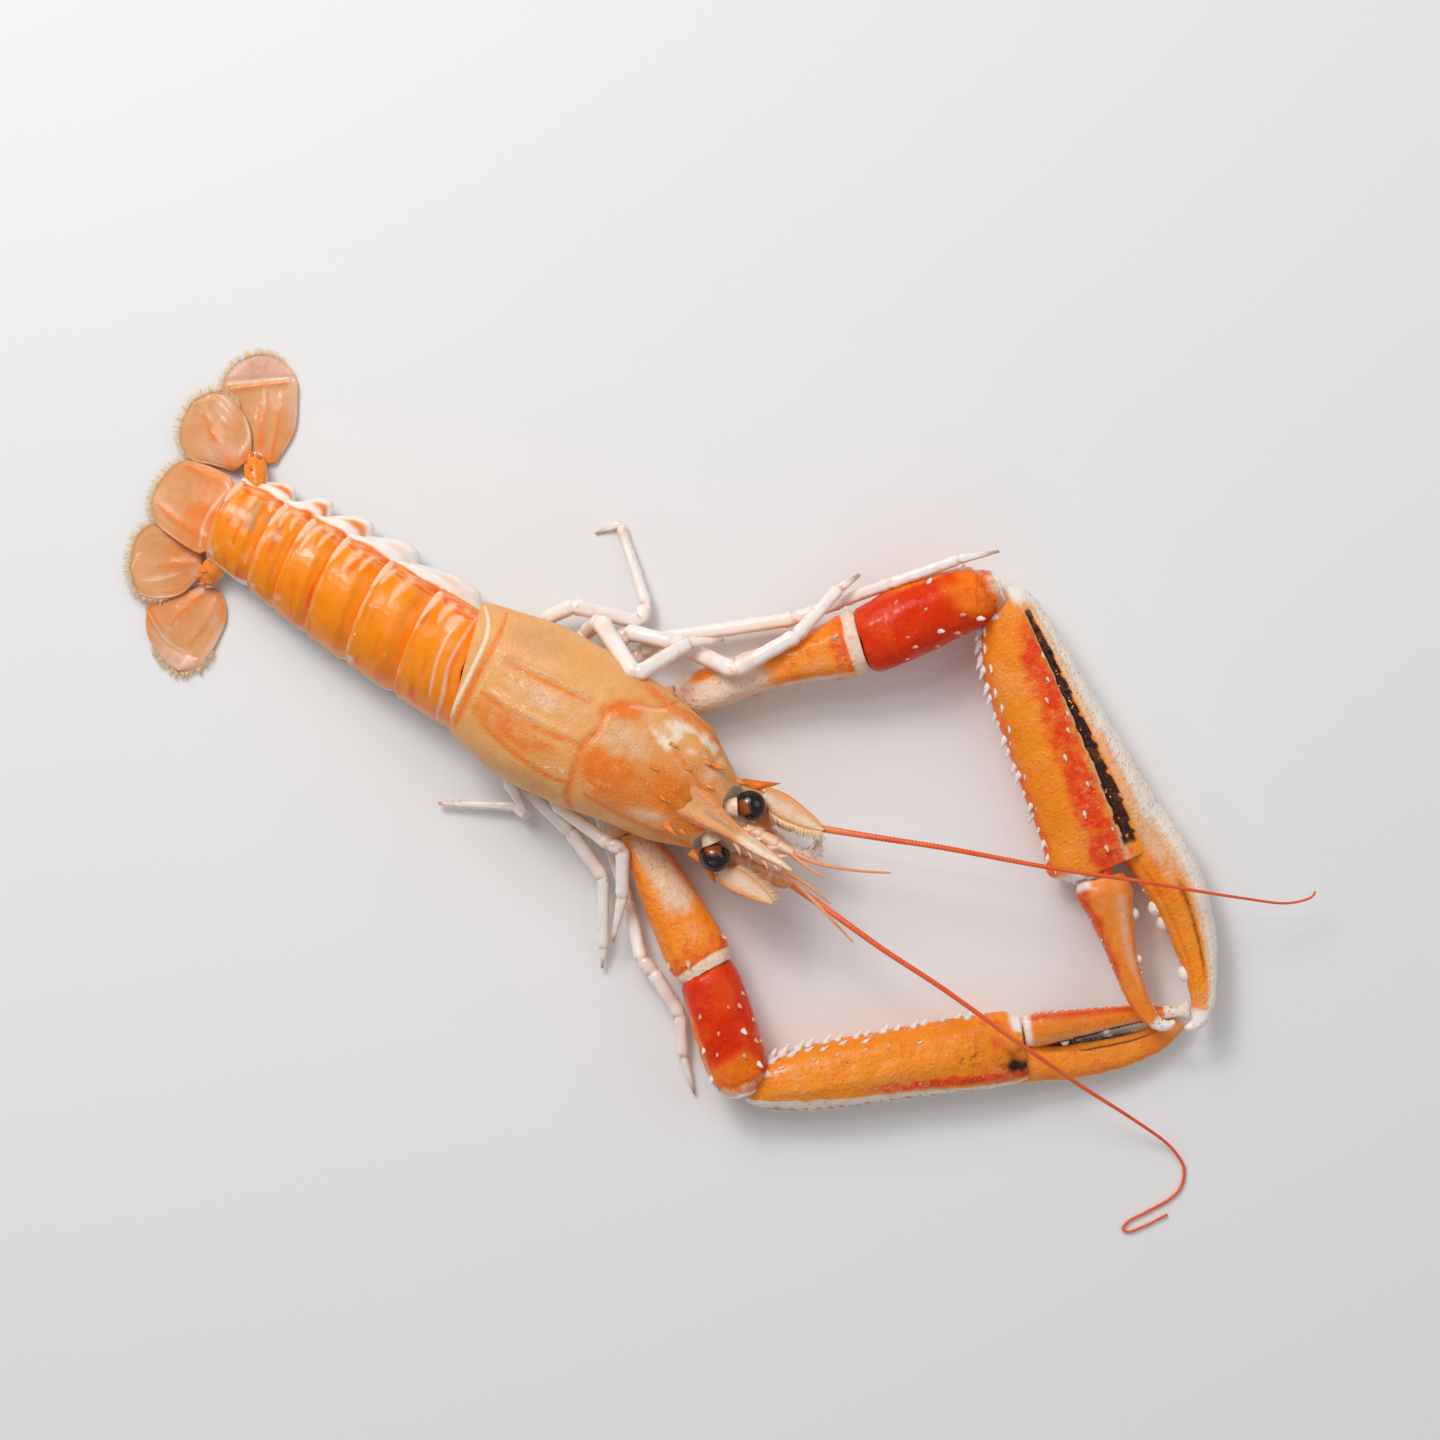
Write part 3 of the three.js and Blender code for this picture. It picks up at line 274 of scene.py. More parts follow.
class Piece:
    """One piece in the making, in millimetres. Its vertices carry the masks that its material paints by."""

    def __init__(self):
        self.skin = bmesh.new()
        self.trim = bmesh.new()
        self.masks = [self.skin.verts.layers.float.new(name) for name in MASKS]
        self.trim_masks = [self.trim.verts.layers.float.new(name) for name in MASKS]
        self.tree = None

    def wrap(self, around, rows, place, paint, relief=None):
        """A closed skin: a grid rolled up round place(t, turn, reach), raised by relief and painted."""

        def at(vert):
            return vert[layers[4]], vert[layers[5]], vert.co, vert.normal

        bm = bmesh.new()
        layers = [bm.verts.layers.float.new(name) for name in MASKS]
        total = rows + 2 * CAP_ROWS
        bmesh.ops.create_grid(bm, x_segments=around, y_segments=total, size=0.5)
        for vert in bm.verts:
            turn = 2 * pi * vert.co.x
            step = round((vert.co.y + 0.5) * total)
            t = clamp((step - CAP_ROWS) / rows)
            reach = sin(pi / 2 * clamp(min(step, total - step) / CAP_ROWS))
            vert[layers[4]], vert[layers[5]] = t, turn
            vert.co = place(t, turn, reach)
        bmesh.ops.remove_doubles(bm, verts=bm.verts, dist=1e-4)
        bmesh.ops.recalc_face_normals(bm, faces=bm.faces)
        bm.normal_update()
        if relief:
            raised = [vert.normal * relief(*at(vert)) for vert in bm.verts]
            for vert, step in zip(bm.verts, raised):
                vert.co += step
        for vert in bm.verts:
            for layer, mark in zip(layers, paint(*at(vert))):
                vert[layer] = clamp(mark)
        self.add(bm, self.skin)
        self.tree = None

    @staticmethod
    def add(source, target):
        """Joins a bmesh to another."""
        mesh = bpy.data.meshes.new("joining")
        source.to_mesh(mesh)
        source.free()
        target.from_mesh(mesh)
        bpy.data.meshes.remove(mesh)

    def onto(self, x, y):
        """The place on the skin straight under (x, y) and the way it faces, or None beside it."""
        if self.tree is None:
            self.tree = BVHTree.FromBMesh(self.skin)
        place, facing, *_ = self.tree.ray_cast(Vector((x, y, 99)), Vector((0, 0, -1)))
        return (place, facing) if place else None

    def mark(self, made, marks, material=0):
        faces = set()
        for vert in made["verts"]:
            for layer, mark in zip(self.trim_masks, marks):
                vert[layer] = mark
            if material:
                faces.update(vert.link_faces)
        for face in faces:
            face.material_index = material

    def spike(self, foot, aim, length, radius, marks=(), sides=7, sink=0.2, tip=0.12, material=0):
        """A cone with its foot sunk in the skin, pointing along aim."""
        aim = Vector(aim).normalized()
        made = bmesh.ops.create_cone(
            self.trim, cap_ends=True, segments=sides, radius1=radius, radius2=radius * tip, depth=length,
            matrix=set_along(aim, Vector(foot) + aim * length * (0.5 - sink)),
        )
        self.mark(made, marks, material)

    def bead(self, centre, radius, aim=(0, 0, 1), stretch=1.0, marks=(), fine=2):
        """A round grain, longer or flatter along aim."""
        shape = set_along(Vector(aim).normalized(), centre) @ Matrix.Diagonal((1, 1, stretch, 1))
        made = bmesh.ops.create_icosphere(self.trim, subdivisions=fine, radius=radius, matrix=shape)
        self.mark(made, marks)

    def hair(self, root, aim, length, thickness):
        """One bristle, in the piece's second material."""
        self.spike(root, aim, length, thickness, sides=3, sink=0, tip=0.25, material=1)

    def finish(self, node, slot, *materials):
        """The finished object: in metres, with its materials, standing for its CAD node."""
        self.add(self.trim, self.skin)
        for vert in self.skin.verts:
            vert.co.z = max(vert.co.z, FLOOR_GAP)
        bmesh.ops.scale(self.skin, vec=(MM, MM, MM), verts=self.skin.verts)
        mesh = bpy.data.meshes.new(f"{node}_skin")
        self.skin.to_mesh(mesh)
        self.skin.free()
        mesh.shade_smooth()
        for material in materials:
            mesh.materials.append(material)
        piece = bpy.data.objects.new(f"{node}_skin", mesh)
        bpy.context.scene.collection.objects.link(piece)
        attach(piece, "root")
        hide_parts(node)


# Sizes and colours that a user may change


def colour(name, description, red, green, blue):
    return FloatVectorProperty(
        name=name, description=description, subtype="COLOR_GAMMA", size=3, min=0, max=1,
        default=(red / 255, green / 255, blue / 255),
    )


def length(name, description, millimetres):
    return FloatProperty(
        name=name, description=description, default=millimetres * MM, min=0, unit="LENGTH", subtype="DISTANCE"
    )


class LobsterSizes(bpy.types.PropertyGroup):
    """Sizes of the lobster's finer parts"""

    spacing: length("Skin spacing", "Distance between neighbouring points of a skin", 0.55)
    unevenness: length("Unevenness", "How high the slow hills of the shell rise", 0.22)
    tubercle: length("Tubercle", "Radius of the white tubercles on the claws", 1.15)
    granule: length("Granule", "Radius of the fine grains on the shell", 0.42)
    fringe: length("Fringe", "Length of the bristles round the tail fan", 3.0)
    bristle: length("Bristle", "Thickness of a bristle at its root", 0.09)
    feeler_ring: length("Feeler ring", "Distance between the rings of a long feeler", 1.0)


class LobsterColours(bpy.types.PropertyGroup):
    """Colours of the lobster, by its own parts"""

    shell: colour("Shell", "Carapace, its plain skin", 238, 170, 98)
    shell_line: colour("Shell lines", "Orange lines and grooves of the carapace", 240, 122, 18)
    shell_pink: colour("Shell pink", "Granulated pink patches of the carapace", 250, 196, 156)
    cream: colour("Cream", "Collars, hinges and pale edges", 250, 230, 204)
    grey: colour("Grey", "Greyish see-through spots", 176, 140, 104)
    ring: colour("Tail ring", "Orange of the tail rings", 255, 144, 4)
    ring_line: colour("Tail lines", "Red-orange lines and swirls of the tail rings", 240, 100, 6)
    ring_pink: colour("Tail drops", "Pale drops and bands across the tail rings", 255, 198, 148)
    white: colour("White", "Side flaps and tubercles", 250, 240, 230)
    fan: colour("Tail fan", "Blades of the tail fan", 230, 160, 104)
    fan_rib: colour("Fan ribs", "Orange ribs of the tail fan", 242, 128, 30)
    fan_pink: colour("Fan pink", "Pinkish far lobes of the tail fan", 238, 184, 158)
    claw: colour("Claw", "Golden orange of the claws", 252, 146, 26)
    claw_ridge: colour("Claw ridge", "Red-orange ridge of the claws", 236, 62, 8)
    claw_cream: colour("Claw cream", "Cream faces of the claws", 240, 204, 168)
    groove: colour("Claw groove", "Dark brown groove of the claws", 50, 20, 14)
    wrist: colour("Wrist", "Deep red of the wrists", 226, 52, 0)
    wrist_orange: colour("Wrist orange", "Orange far end of the wrists", 250, 124, 20)
    finger: colour("Finger", "Moving fingers", 242, 134, 34)
    finger_red: colour("Finger red", "Red-brown back of the left finger", 226, 78, 16)
    leg: colour("Leg", "Walking legs", 250, 238, 230)
    # Leg pink is also painted on the side of the legs that faces the bottom of the view, as painted reflected
    # light
    leg_pink: colour("Leg pink", "Pinkish shade of the walking legs", 240, 206, 186)
    leg_joint: colour("Leg joint", "Orange joints of the walking legs", 234, 168, 124)
    eye: colour("Eye", "Eyes", 14, 7, 5)
    eye_brown: colour("Eye brown", "See-through spot of the eyes", 158, 80, 26)
    feeler: colour("Feeler", "Long feelers", 238, 92, 38)
    feeler_pale: colour("Feeler edge", "Pale edge of the feelers", 250, 170, 116)
    bristle: colour("Bristles", "Hair on the fan, scales and mouth legs", 255, 222, 178)
    floor: colour("Floor", "Plain floor of the stage", 236, 235, 234)


def millimetres(name):
    return getattr(bpy.context.scene.lobster_sizes, name) / MM


def tint(name):
    """A named colour of the lobster as a shader socket takes it."""
    shade = Color(getattr(bpy.context.scene.lobster_colours, name))
    return (*shade.from_srgb_to_scene_linear(), 1.0)


# Materials


def feed(tree, node, inputs):
    """Gives a node its inputs, as values or as the sockets that feed them."""
    for name, value in inputs.items():
        if isinstance(value, bpy.types.NodeSocket):
            tree.links.new(value, node.inputs[name])
        else:
            node.inputs[name].default_value = value


def add(tree, kind, inputs, **settings):
    """A shader node with its settings and inputs."""
    made = tree.nodes.new(kind)
    for name, value in settings.items():
        setattr(made, name, value)
    feed(tree, made, inputs)
    return made


def arithmetic(tree, operation, first, second):
    return add(tree, "ShaderNodeMath", {0: first, 1: second}, operation=operation).outputs[0]


def times(tree, first, second):
    return arithmetic(tree, "MULTIPLY", first, second)


def mixed(tree, share, first, second):
    inputs = {"Factor": share, "A": first, "B": second}
    return add(tree, "ShaderNodeMix", inputs, data_type="RGBA").outputs["Result"]


def place_of(tree):
    return add(tree, "ShaderNodeTexCoord", {}).outputs["Object"]


def mask_of(tree, name):
    return add(tree, "ShaderNodeAttribute", {}, attribute_name=name).outputs["Fac"]


def cloud(tree, scale, detail=3.0, roughness=0.5):
    """Soft noise over the piece, from 0 to 1."""
    texture = add(
        tree, "ShaderNodeTexNoise",
        {"Vector": place_of(tree), "Scale": scale, "Detail": detail, "Roughness": roughness},
    )
    return texture.outputs["Fac"]


def stepped(tree, value, low, high):
    """value brought to 0 at low and 1 at high, with soft ends."""
    ramp = add(
        tree, "ShaderNodeMapRange", {"Value": value, "From Min": low, "From Max": high},
        interpolation_type="SMOOTHSTEP",
    )
    return ramp.outputs["Result"]


def socket(group, name, kind, default=None, way="INPUT"):
    made = group.interface.new_socket(name, in_out=way, socket_type=f"NodeSocket{kind}")
    if default is not None:
        made.default_value = default


def group_of(name, inputs, outputs, build):
    """A node group, built the first time that it is asked for."""
    if name in bpy.data.node_groups:
        return bpy.data.node_groups[name]
    group = bpy.data.node_groups.new(name, "ShaderNodeTree")
    for label, kind, default in inputs:
        socket(group, label, kind, default)
    for label, kind in outputs:
        socket(group, label, kind, way="OUTPUT")
    given = group.nodes.new("NodeGroupInput").outputs
    taken = group.nodes.new("NodeGroupOutput").inputs
    for label, value in build(group, given).items():
        group.links.new(value, taken[label])
    return group


def painted(group, given):
    """The piece's colour by its masks, with ragged edges where two colours meet."""
    ragged = arithmetic(group, "SUBTRACT", cloud(group, 420, 4, 0.6), 0.5)
    ragged = times(group, ragged, given["Ragged"])
    result, masks = given["Base"], {}
    for name in ("Warm", "Pink", "Pale", "Dark"):
        mask = mask_of(group, name.lower())
        mask = stepped(group, arithmetic(group, "ADD", mask, ragged), 0.12, 0.85)
        result = mixed(group, mask, result, given[name])
        masks[f"{name} Mask"] = mask
    return {"Color": result, **masks}


def mottled(group, given):
    """A colour made lighter, darker and warmer from place to place."""
    broad = cloud(group, 90, 3, 0.55)
    fine = cloud(group, 520, 4, 0.6)
    broad, fine = times(group, broad, 0.55), times(group, fine, 0.45)
    mix = arithmetic(group, "ADD", broad, fine)
    lighter = times(group, stepped(group, mix, 0.5, 0.66), given["Amount"])
    darker = times(group, stepped(group, mix, 0.5, 0.34), given["Amount"])
    result = mixed(group, lighter, given["Color"], given["Light"])
    return {"Color": mixed(group, darker, result, given["Shade"])}


def specked(group, given):
    """Tiny dots scattered over the piece."""
    spread = {"Vector": place_of(group), "Scale": given["Scale"], "Randomness": 1.0}
    cells = add(group, "ShaderNodeTexVoronoi", spread)
    near = stepped(group, cells.outputs["Distance"], 0.16, 0.1)
    chosen = arithmetic(group, "LESS_THAN", cells.outputs["Color"], given["Share"])
    return {"Mask": times(group, near, chosen)}


def granular(group, given):
    """The height of fine grains on slow waves, from about 0 to 1."""
    cells = add(
        group, "ShaderNodeTexVoronoi",
        {"Vector": place_of(group), "Scale": given["Scale"], "Smoothness": 0.35, "Randomness": 0.9},
        feature="SMOOTH_F1",
    )
    grain = stepped(group, cells.outputs["Distance"], 0.55, 0.05)
    wave = cloud(group, 260, 4, 0.6)
    grain = times(group, grain, given["Grains"])
    wave = times(group, wave, given["Waves"])
    return {"Height": arithmetic(group, "ADD", grain, wave)}


COLOURS = [(label, "Color", None) for label in ("Base", "Warm", "Pink", "Pale", "Dark")]


def use(tree, name, inputs):
    """One of the lobster's node groups, placed in a material."""
    makers = {
        "Shell paint": (
            [*COLOURS, ("Ragged", "Float", 0.4)],
            [("Color", "Color"), *((f"{label} Mask", "Float") for label, *_ in COLOURS[1:])],
            painted,
        ),
        "Mottle": (
            [*((label, "Color", None) for label in ("Color", "Light", "Shade")), ("Amount", "Float", 0.5)],
            [("Color", "Color")],
            mottled,
        ),
        "Specks": ([("Scale", "Float", 400.0), ("Share", "Float", 0.1)], [("Mask", "Float")], specked),
        "Grain": (
            [("Scale", "Float", 900.0), ("Grains", "Float", 0.6), ("Waves", "Float", 0.4)],
            [("Height", "Float")],
            granular,
        ),
    }
    return add(tree, "ShaderNodeGroup", inputs, node_tree=group_of(name, *makers[name])).outputs


def blank_material(name):
    material = bpy.data.materials.new(name)
    material.use_nodes = True
    tree = material.node_tree
    tree.nodes.clear()
    shader = tree.nodes.new("ShaderNodeBsdfPrincipled")
    output = tree.nodes.new("ShaderNodeOutputMaterial")
    tree.links.new(shader.outputs["BSDF"], output.inputs["Surface"])
    return material, tree, shader


def lighter(rgba, share):
    """A colour brought towards a warm white."""
    return (*(lerp(c, top, share) for c, top in zip(rgba[:3], (1.0, 0.92, 0.8))), 1.0)


def deeper(rgba, share):
    """A colour made darker and stronger."""
    return (*(c ** (1 + share) * (1 - 0.3 * share) for c in rgba[:3]), 1.0)


# How a skin looks where its own row in SKINS says nothing else
WET_SKIN = {
    "ragged": 0.26, "mottle": 0.5, "light": 0.14, "shade": 0.22, "roughness": (0.34, 0.5), "wet": (0.1, 0.4),
    "grain_scale": 900.0, "grains": 0.5, "waves": 0.5, "depth": 0.35, "specks": 0.03, "speck_scale": 420.0,
    "glow": 0.13, "glow_depth": 2.0, "shine": 0.3,
}
# Each skin: its own colour and those that its masks bring in, then where it differs
SKINS = {
    "lobster shell": (("shell", "shell_line", "shell_pink", "cream", "grey"), {
        "roughness": (0.4, 0.55), "wet": (0.05, 0.3), "grain_scale": 1150, "grains": 0.7, "depth": 0.4,
        "specks": 0.02,
    }),
    "tail shell": (("ring", "ring_line", "ring_pink", "white", "grey"), {
        "ragged": 0.16, "roughness": (0.3, 0.46), "wet": (0.2, 0.5), "grain_scale": 500, "grains": 0.2,
        "depth": 0.3, "specks": 0.02, "glow": 0.15, "mottle": 0.4, "light": 0.1, "shine": 0.18,
    }),
    "tail fan": (("fan", "fan_rib", "fan_pink", "cream", "grey"), {
        "ragged": 0.2, "roughness": (0.32, 0.46), "wet": (0.15, 0.4), "grain_scale": 1400, "grains": 0.2,
        "depth": 0.15, "specks": 0.02, "glow": 0.3, "glow_depth": 3.0, "mottle": 0.4,
    }),
    "claw shell": (("claw", "claw_ridge", "claw_cream", "white", "groove"), {
        "grain_scale": 800, "grains": 0.9, "depth": 0.5, "shine": 0.22,
    }),
    "wrist shell": (("wrist", "wrist_orange", "claw_cream", "white", "groove"), {
        "roughness": (0.32, 0.46), "wet": (0.1, 0.32), "grain_scale": 700, "grains": 0.6, "depth": 0.5,
        "light": 0.03, "shine": 0.1, "glow": 0.06,
    }),
    "finger shell": (("finger", "finger_red", "claw_cream", "white", "groove"), {
        "roughness": (0.28, 0.42), "wet": (0.15, 0.45), "grains": 0.4, "depth": 0.3, "shine": 0.22,
    }),
    "pale skin": (("cream", "shell_line", "shell_pink", "white", "grey"), {
        "wet": (0.15, 0.45), "grain_scale": 800, "depth": 0.3, "specks": 0.02, "glow": 0.25,
    }),
    "leg shell": (("leg", "leg_joint", "leg_pink", "white", "grey"), {
        "ragged": 0.2, "roughness": (0.24, 0.38), "wet": (0.3, 0.6), "grains": 0.2, "depth": 0.2,
        "specks": 0.01, "glow": 0.3, "mottle": 0.3, "light": 0.3, "shade": 0.12,
    }),
    "feeler": (("feeler", "shell_line", "feeler_pale", "cream", "grey"), {
        "grain_scale": 2200, "depth": 0.2, "specks": 0.01, "mottle": 0.3,
    }),
}


def ranged(tree, value, *span):
    """A value brought to another range: its last two ends are the new ones, any before them the old."""
    names = ("From Min", "From Max", "To Min", "To Max")[-len(span):]
    return add(tree, "ShaderNodeMapRange", {"Value": value, **dict(zip(names, span))}).outputs["Result"]


def skin_material(name):
    """Wet shell or skin: painted by its masks, mottled, specked, finely grained and partly see-through."""
    if name in bpy.data.materials:
        return bpy.data.materials[name]
    colours, own = SKINS[name]
    look = {**WET_SKIN, **own}
    material, tree, shader = blank_material(name)
    base = tint(colours[0])
    paint = use(tree, "Shell paint", {
        **{label: tint(shade) for (label, *_), shade in zip(COLOURS, colours)}, "Ragged": look["ragged"],
    })
    mottle_out = use(tree, "Mottle", {
        "Color": paint["Color"], "Light": lighter(base, look["light"]), "Shade": deeper(base, look["shade"]),
        "Amount": look["mottle"],
    })
    steady = arithmetic(tree, "MAXIMUM", paint["Pale Mask"], paint["Dark Mask"])
    calm = arithmetic(tree, "SUBTRACT", 1.0, times(tree, steady, 0.75))
    skin = mixed(tree, calm, paint["Color"], mottle_out["Color"])
    dots = use(tree, "Specks", {"Scale": look["speck_scale"], "Share": look["specks"]})["Mask"]
    skin = mixed(tree, times(tree, dots, 0.7), skin, tint("groove"))
    grain = {"Scale": look["grain_scale"], "Grains": look["grains"], "Waves": look["waves"]}
    height = use(tree, "Grain", grain)["Height"]
    bump = add(tree, "ShaderNodeBump", {"Height": height, "Strength": look["depth"], "Distance": 0.0004})
    film = cloud(tree, 150, 2)
    feed(tree, shader, {
        "Base Color": skin, "Roughness": ranged(tree, film, 0.3, 0.7, *look["roughness"]),
        "Coat Weight": ranged(tree, film, 0.65, 0.35, *look["wet"]), "Normal": bump.outputs["Normal"],
        "Coat Roughness": 0.1, "IOR": 1.5, "Specular IOR Level": look["shine"],
        "Subsurface Weight": look["glow"], "Subsurface Radius": (1.0, 0.6, 0.35),
        "Subsurface Scale": look["glow_depth"] * MM,
    })
    return material


def bristle_material():
    if "bristles" in bpy.data.materials:
        return bpy.data.materials["bristles"]
    material, tree, shader = blank_material("bristles")
    shade = mixed(tree, cloud(tree, 300), tint("bristle"), deeper(tint("bristle"), 0.15))
    feed(tree, shader, {"Base Color": shade, "Roughness": ranged(tree, cloud(tree, 500), 0.35, 0.6)})
    return material


def eye_material():
    if "wet eye" in bpy.data.materials:
        return bpy.data.materials["wet eye"]
    material, tree, shader = blank_material("wet eye")
    facets = add(tree, "ShaderNodeTexVoronoi", {"Vector": place_of(tree), "Scale": 4200.0})
    facets = facets.outputs["Distance"]
    patch = mask_of(tree, "warm")
    clear = times(tree, patch, arithmetic(tree, "ADD", cloud(tree, 420), 0.4))
    brown = mixed(tree, clear, tint("eye"), tint("eye_brown"))
    bump = add(tree, "ShaderNodeBump", {"Height": facets, "Strength": 0.03, "Distance": 0.0001})
    feed(tree, shader, {
        "Base Color": brown, "Normal": bump.outputs["Normal"],
        "Roughness": ranged(tree, cloud(tree, 200), 0.02, 0.05), "Coat Weight": 0.4, "Coat Roughness": 0.02,
    })
    return material


# Carapace and rostrum

CARAPACE_REAR = -37.5
CARAPACE_FRONT = 45.5
CARAPACE_HEM = 9.5
CARAPACE_SKEW = 0.3
CARAPACE_SQUARE = 0.86
ROSTRUM_TIP = 67
CLOSING = 0.72  # how much of its width the carapace keeps at its front

carapace_left = along((-41, 17), (-33, 19.4), (-15, 24), (9, 24), (27, 21.6), (38, 18.4), (46, 15))
carapace_right = along((-41, 16.4), (-31, 18.6), (-16, 20.4), (0, 19), (21, 15), (38, 12.4), (46, 10))
carapace_top = along((-41, 29), (-30, 33.5), (-8, 37.2), (12, 38), (30, 35.8), (46, 32))
carapace_middle = along((-41, 18), (12, 22), (46, 22))

# Lines on the back as seen from above, and the hollows that the eyes lie in
REAR_EDGE = [(-41.5, 16.9), (-38.9, 14.6), (-36.6, 10.3), (-35.2, 0.8), (-34.4, -7.7), (-33.6, -13.6)]
REAR_STRIPE = [(-35.4, 18.5), (-34.2, 14.5), (-33.6, 8.3), (-33.2, 0.5), (-32.4, -6.7), (-31.4, -14.4)]
REAR_LINE = [(-32.4, 18.8), (-31.4, 14), (-31, 8), (-30.8, 0.4), (-30.4, -6), (-29.4, -13.8)]
LEFT_KEEL = [(-29.1, 8.7), (-22.9, 9.2), (-15.9, 10.3), (-9.7, 10.8), (-3.5, 11.4)]
RIGHT_KEEL = [(-28.2, -1.7), (-21.9, -2.1), (-14, -1.6), (-6.8, -1), (-0.8, 0)]
UNDER_LEFT_KEEL = [(-28.6, 7), (-22.4, 7.6), (-15.4, 8.6), (-9.2, 9.2), (-3.6, 9.9)]
UNDER_RIGHT_KEEL = [(-29.8, -2.9), (-23.9, -3.8), (-15.1, -3.7), (-7.9, -3), (-0.8, -1.4)]
SIDE_LINE = [(-25.4, -10.3), (-18, -11.7), (-9.7, -12.7), (-2, -12.8), (2.7, -11.6)]
NECK_GROOVE = [
    (17, 22.6), (12.9, 18.3), (7.7, 16.1), (3.5, 12.4), (2.1, 9.4), (2.4, 3.6), (1.2, 0.2), (1.8, -4.4),
    (3.3, -9.5), (4.2, -14), (9, -18.6),
]
ROSTRUM_RIDGE_RIGHT = [(14.5, 0.7), (26.5, -1.1), (38.3, -0.9)]
ROSTRUM_RIDGE_LEFT = [(22, 5.4), (29.5, 2.9), (36.6, 1.8)]
CHEEK_LINE_LEFT = [(12.9, 20.4), (22, 21.4), (31, 19.4), (40, 15.6)]
CHEEK_LINE_RIGHT = [(8, -12), (20, -11.4), (30, -10.2), (40, -8.8)]
ORBITS = [(44.8, 7.6, 27.4), (44.4, -6.4, 27.2)]
ORBIT_RADII = (4.4, 5.0, 5.2)

# Each pair of teeth on the rostrum: its place, its middle, its length and thickness, and its masks
ROSTRUM_TEETH = (
    ((50.5, 2.2, 31.9), 0.4, 4, 1.1, (0.3, 0.3, 0.5, 0)),
    ((58.8, 1.6, 32.3), 0.4, 4, 1.1, (0.3, 0.3, 0.5, 0)),
    ((54.6, 2.1, 32), 0.3, 2.6, 0.8, (0.2, 0.3, 0.6, 0)),
    ((62.2, 1.2, 32.9), 0.3, 2.6, 0.8, (0.2, 0.3, 0.6, 0)),
)
# Rows of grains: the line, the distance between two and their size
GRAIN_ROWS = (
    (LEFT_KEEL, 0.8, 1.1), (LEFT_KEEL, 1.1, 0.8), (RIGHT_KEEL, 1.0, 0.9), (ROSTRUM_RIDGE_LEFT, 2.4, 0.8),
    (ROSTRUM_RIDGE_RIGHT, 2.4, 0.8), (SIDE_LINE, 2.6, 0.8), (CHEEK_LINE_LEFT, 2.6, 0.7),
    (CHEEK_LINE_RIGHT, 2.3, 0.8),
)
# Fields of grains: the middle, how far they spread along and across, and how many
GRAIN_FIELDS = (
    (10, 6, 5.5, 4.2, 240), (-15, 4.2, 9, 2.8, 200), (-12, -7.5, 10, 3, 70), (27, -8, 6, 2.2, 70),
    (16, 2, 16, 9, 80),
)
# Spines that stand on the back: place, length and thickness. Those at the cheeks: foot and aim
BACK_SPINES = (
    (26.8, -1.6, 2.8, 1.0), (21.7, 12, 2.6, 1.0), (20.5, 4.1, 2.6, 1.0), (35.8, 7.5, 3.2, 1.1),
    (31.9, 12.7, 3.4, 1.2), (36, -6.6, 3.0, 1.1), (28, 8.6, 2.2, 0.9), (31, -8.4, 2.6, 1.0),
)
CHEEK_SPINES = (
    ((41.4, 12.6, 25), (1, 0.25, 0.1)), ((42, -10.4, 25), (1, -0.2, 0.1)),
    ((34, 13, 31.4), (1, 0.3, 0.5)), ((32, -7.4, 33), (1, -0.3, 0.5)),
)
AHEAD = Vector((1, 0, 0))


def carapace_place(t, turn, reach=1.0):
    x = lerp(CARAPACE_REAR, CARAPACE_FRONT, t)
    close = min(1, CLOSING + 1.4 * (1 - t))
    side, rise = sin(turn), cos(turn)
    wide = (carapace_left if side > 0 else carapace_right)(x) * close
    middle = carapace_middle(x)
    high = (carapace_top(x) - middle) * close if rise > 0 else middle - CARAPACE_HEM
    y = boxy(side, CARAPACE_SQUARE if rise > 0 else 0.5) * wide * reach
    z = middle + boxy(rise, CARAPACE_SQUARE if rise > 0 else 0.45) * high * reach
    skew = CARAPACE_SKEW * (1 - smooth(x, CARAPACE_REAR, 0))
    return Vector((x - skew * y, y + 1.6 * hump(x, 18, 26) * reach * max(rise, 0), z))


def from_orbit(point, centre):
    """How far a point lies from the middle of an eye's hollow, in shares of its radii."""
    return [(point[i] - centre[i]) / ORBIT_RADII[i] for i in range(3)]


def hollowed(point):
    """The point moved back out of the hollows that the eyes lie in."""
    for centre in ORBITS:
        offset = from_orbit(point, centre)
        flat = offset[1] ** 2 + offset[2] ** 2
        if flat + offset[0] ** 2 < 1:
            point = Vector((centre[0] - ORBIT_RADII[0] * sqrt(max(1 - flat, 0)), point.y, point.z))
    return point


